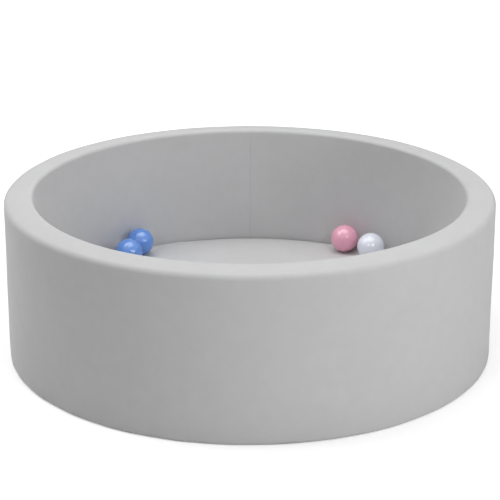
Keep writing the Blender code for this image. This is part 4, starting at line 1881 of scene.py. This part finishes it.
@dataclass
class PlayBall:
    """A hollow blow-moulded ball with a parting line and a needle mark."""

    node: str
    tint: BallTint
    lean: tuple[float, float]
    radius: float = BALL_RADIUS
    shell: float = 0.0008
    inset: float = 0.00004
    needle: float = 0.0006
    collar_depth: float = 0.00025
    collar_away: float = 0.0022
    collar_width: float = 0.0007
    line_rise: float = 0.00022
    line_width: float = 0.00055
    line_rows: tuple[float, ...] = (-1.6, -0.8, -0.3, 0.3, 0.8, 1.6)
    columns: int = 72
    outer_rows: int = 60
    inner_rows: int = 20

    def outline(self) -> np.ndarray:
        """Draw the shell's section, with the parting line round its middle.

        Returns:
            (radius, height) points.
        """
        quarter, small = math.pi / 2, self.radius - self.shell
        outer = np.linspace(quarter, math.asin(self.needle / self.radius) - quarter, self.outer_rows)
        near = np.array(self.line_rows) * self.line_width / self.radius
        angles = np.sort(np.concatenate([outer, near]))[::-1]
        rise = self.line_rise * hump(angles * self.radius, self.line_width * 0.8) * 0.9
        below = (angles + quarter) * self.radius
        collar = self.collar_depth * hump(below - self.collar_away, self.collar_width)
        reach = self.radius - self.inset + rise - collar
        inner = np.linspace(math.asin(self.needle / small) - quarter, quarter, self.inner_rows)
        skin, lining = (np.stack([length * np.cos(turn), length * np.sin(turn)], axis=1)
                        for length, turn in ((reach, angles), (small, inner)))
        return np.concatenate([skin, lining])

    def build(self) -> tuple[float, float]:
        """Returns:
            The ball's place on the floor.
        """
        low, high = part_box(self.node)
        centre = Vector(((low.x + high.x) / 2, (low.y + high.y) / 2, (low.z + high.z) / 2))
        piece = lathe(f"play_{self.node}", self.outline(), whole_turn(self.columns), self.tint.value)
        tilt, turn = (math.radians(angle) for angle in self.lean)
        leaning = Matrix.Rotation(turn, 4, "Z") @ Matrix.Rotation(tilt, 4, "X")
        piece.data.transform(Matrix.Translation(centre) @ leaning)
        declare(piece, self.node, self.node)
        return centre.x, centre.y


# Studio

@dataclass(frozen=True)
class Lamp:
    """A soft square lamp."""

    name: str
    place: Place
    aim: Place
    size: float
    watts: float

    def build(self) -> None:
        """Hang the lamp and aim it."""
        data = bpy.data.lights.new(self.name, "AREA")
        set_all(data, shape="SQUARE", size=self.size, energy=self.watts)
        way = Vector(self.aim) - Vector(self.place)
        set_all(add_object(self.name, data), location=self.place,
                rotation_euler=way.to_track_quat("-Z", "Y").to_euler())


@dataclass
class Studio:
    """Pale floor, plain soft light and the camera."""

    lamps: tuple[Lamp, ...] = (
        Lamp("right_front", (2.8, -2.2, 1.2), (0.0, 0.0, 0.12), 1.4, 38.0),
        Lamp("small_left", (-1.25, -2.35, 1.95), (0.0, 0.0, 0.1), 0.2, 4.5),
        Lamp("small_right", (1.25, -2.35, 1.95), (0.0, 0.0, 0.1), 0.28, 13.0),
        Lamp("back_left", (-2.4, 2.2, 2.4), (0.0, 0.0, 0.15), 1.8, 29.0),
        Lamp("top_left", (-1.8, 0.0, 2.7), (0.0, 0.0, 0.15), 1.6, 25.0),
        Lamp("top_soft", (0.2, 0.2, 3.2), (0.0, 0.0, 0.1), 2.6, 57.0),
    )
    world_light: float = 0.05
    floor_half: float = 30.0
    floor_grey: float = 0.86
    glow_from: float = 0.5
    glow_to: float = 3.2
    glow_least: float = 0.40
    camera_place: Place = (0.0004, -3.1568, 1.3090)
    camera_pitch_deg: float = 19.58
    lens: float = 129.5

    def build_world(self) -> None:
        """Even light from all round, white where the camera or a gloss sees past the floor."""
        world = bpy.data.worlds.new("studio")
        bpy.context.scene.world = world
        world.use_nodes = True
        world.node_tree.nodes.remove(world.node_tree.nodes["Background"])
        tree = NodeTree(world.node_tree)
        camera, gloss = (tree.node("ShaderNodeLightPath", output=name)
                         for name in ("Is Camera Ray", "Is Glossy Ray"))
        light, white = (tree.node("ShaderNodeBackground", None, {"Color": WHITE, "Strength": strength})
                        for strength in (self.world_light, 1.0))
        seen = tree.node("ShaderNodeMixShader", None, {0: camera.at_least(gloss), 1: light, 2: white})
        tree.feed(world.node_tree.nodes["World Output"].inputs["Surface"], seen)

    def build_floor(self) -> None:
        """A plain pale floor that turns white away from the pit where the camera sees it."""
        half = self.floor_half
        corners = np.array([(-half, -half, 0.0), (half, -half, 0.0), (half, half, 0.0), (-half, half, 0.0)])
        floor = make_piece("studio_floor", corners, [(0, 1, 2, 3)])
        tree = ShaderTree("white_floor")
        seen = tree.node("ShaderNodeLightPath", output="Is Camera Ray")
        away = tree.node("ShaderNodeVectorMath", {"operation": "LENGTH"}, {0: tree.place()}, "Value")
        far = tree.node("ShaderNodeMapRange", {"interpolation_type": "SMOOTHSTEP"},
                        {"Value": away, "From Min": self.glow_from, "From Max": self.glow_to,
                         "To Min": self.glow_least, "To Max": 1.0})
        glow = tree.between((0.0, 0.0, 0.0), (1.0, 1.0, 1.0), seen * far)
        grey = (self.floor_grey, self.floor_grey, self.floor_grey, 1.0)
        floor.data.materials.append(tree.finish({"Emission Color": glow}, {
            "Base Color": grey, "Roughness": 0.9, "Specular IOR Level": 0.0, "Emission Strength": 1.0}))

    def build_camera(self) -> None:
        """The camera at the photograph's place."""
        data = bpy.data.cameras.new("camera")
        set_all(data, lens=self.lens, sensor_width=36.0, clip_end=100.0)
        camera = add_object("camera", data)
        pitch = math.radians(90.0 - self.camera_pitch_deg)
        set_all(camera, location=self.camera_place, rotation_euler=(pitch, 0.0, 0.0))
        bpy.context.scene.camera = camera

    def build(self) -> None:
        """Make the whole studio."""
        bpy.context.scene.view_settings.view_transform = "Standard"
        self.build_world()
        self.build_floor()
        for lamp in self.lamps:
            lamp.build()
        self.build_camera()


def main() -> None:
    """Build the ball pit piece by piece, then the studio."""
    logging.basicConfig(level=logging.INFO, format="%(name)s: %(message)s")
    balls = [PlayBall("ball_blue_back", BallTint.BLUE, (62.0, 20.0)),
             PlayBall("ball_blue_front", BallTint.BLUE, (35.0, 140.0)),
             PlayBall("ball_pink", BallTint.PINK, (29.5, 45.0)),
             PlayBall("ball_white", BallTint.WHITE, (75.0, 310.0))]
    places = tuple(ball.build() for ball in balls)
    Wall().build()
    FloorCushion(places).build()
    Underside().build()
    ZipChain().build()
    ZipSlider().build()
    Studio().build()


if __name__ == "__main__":
    main()
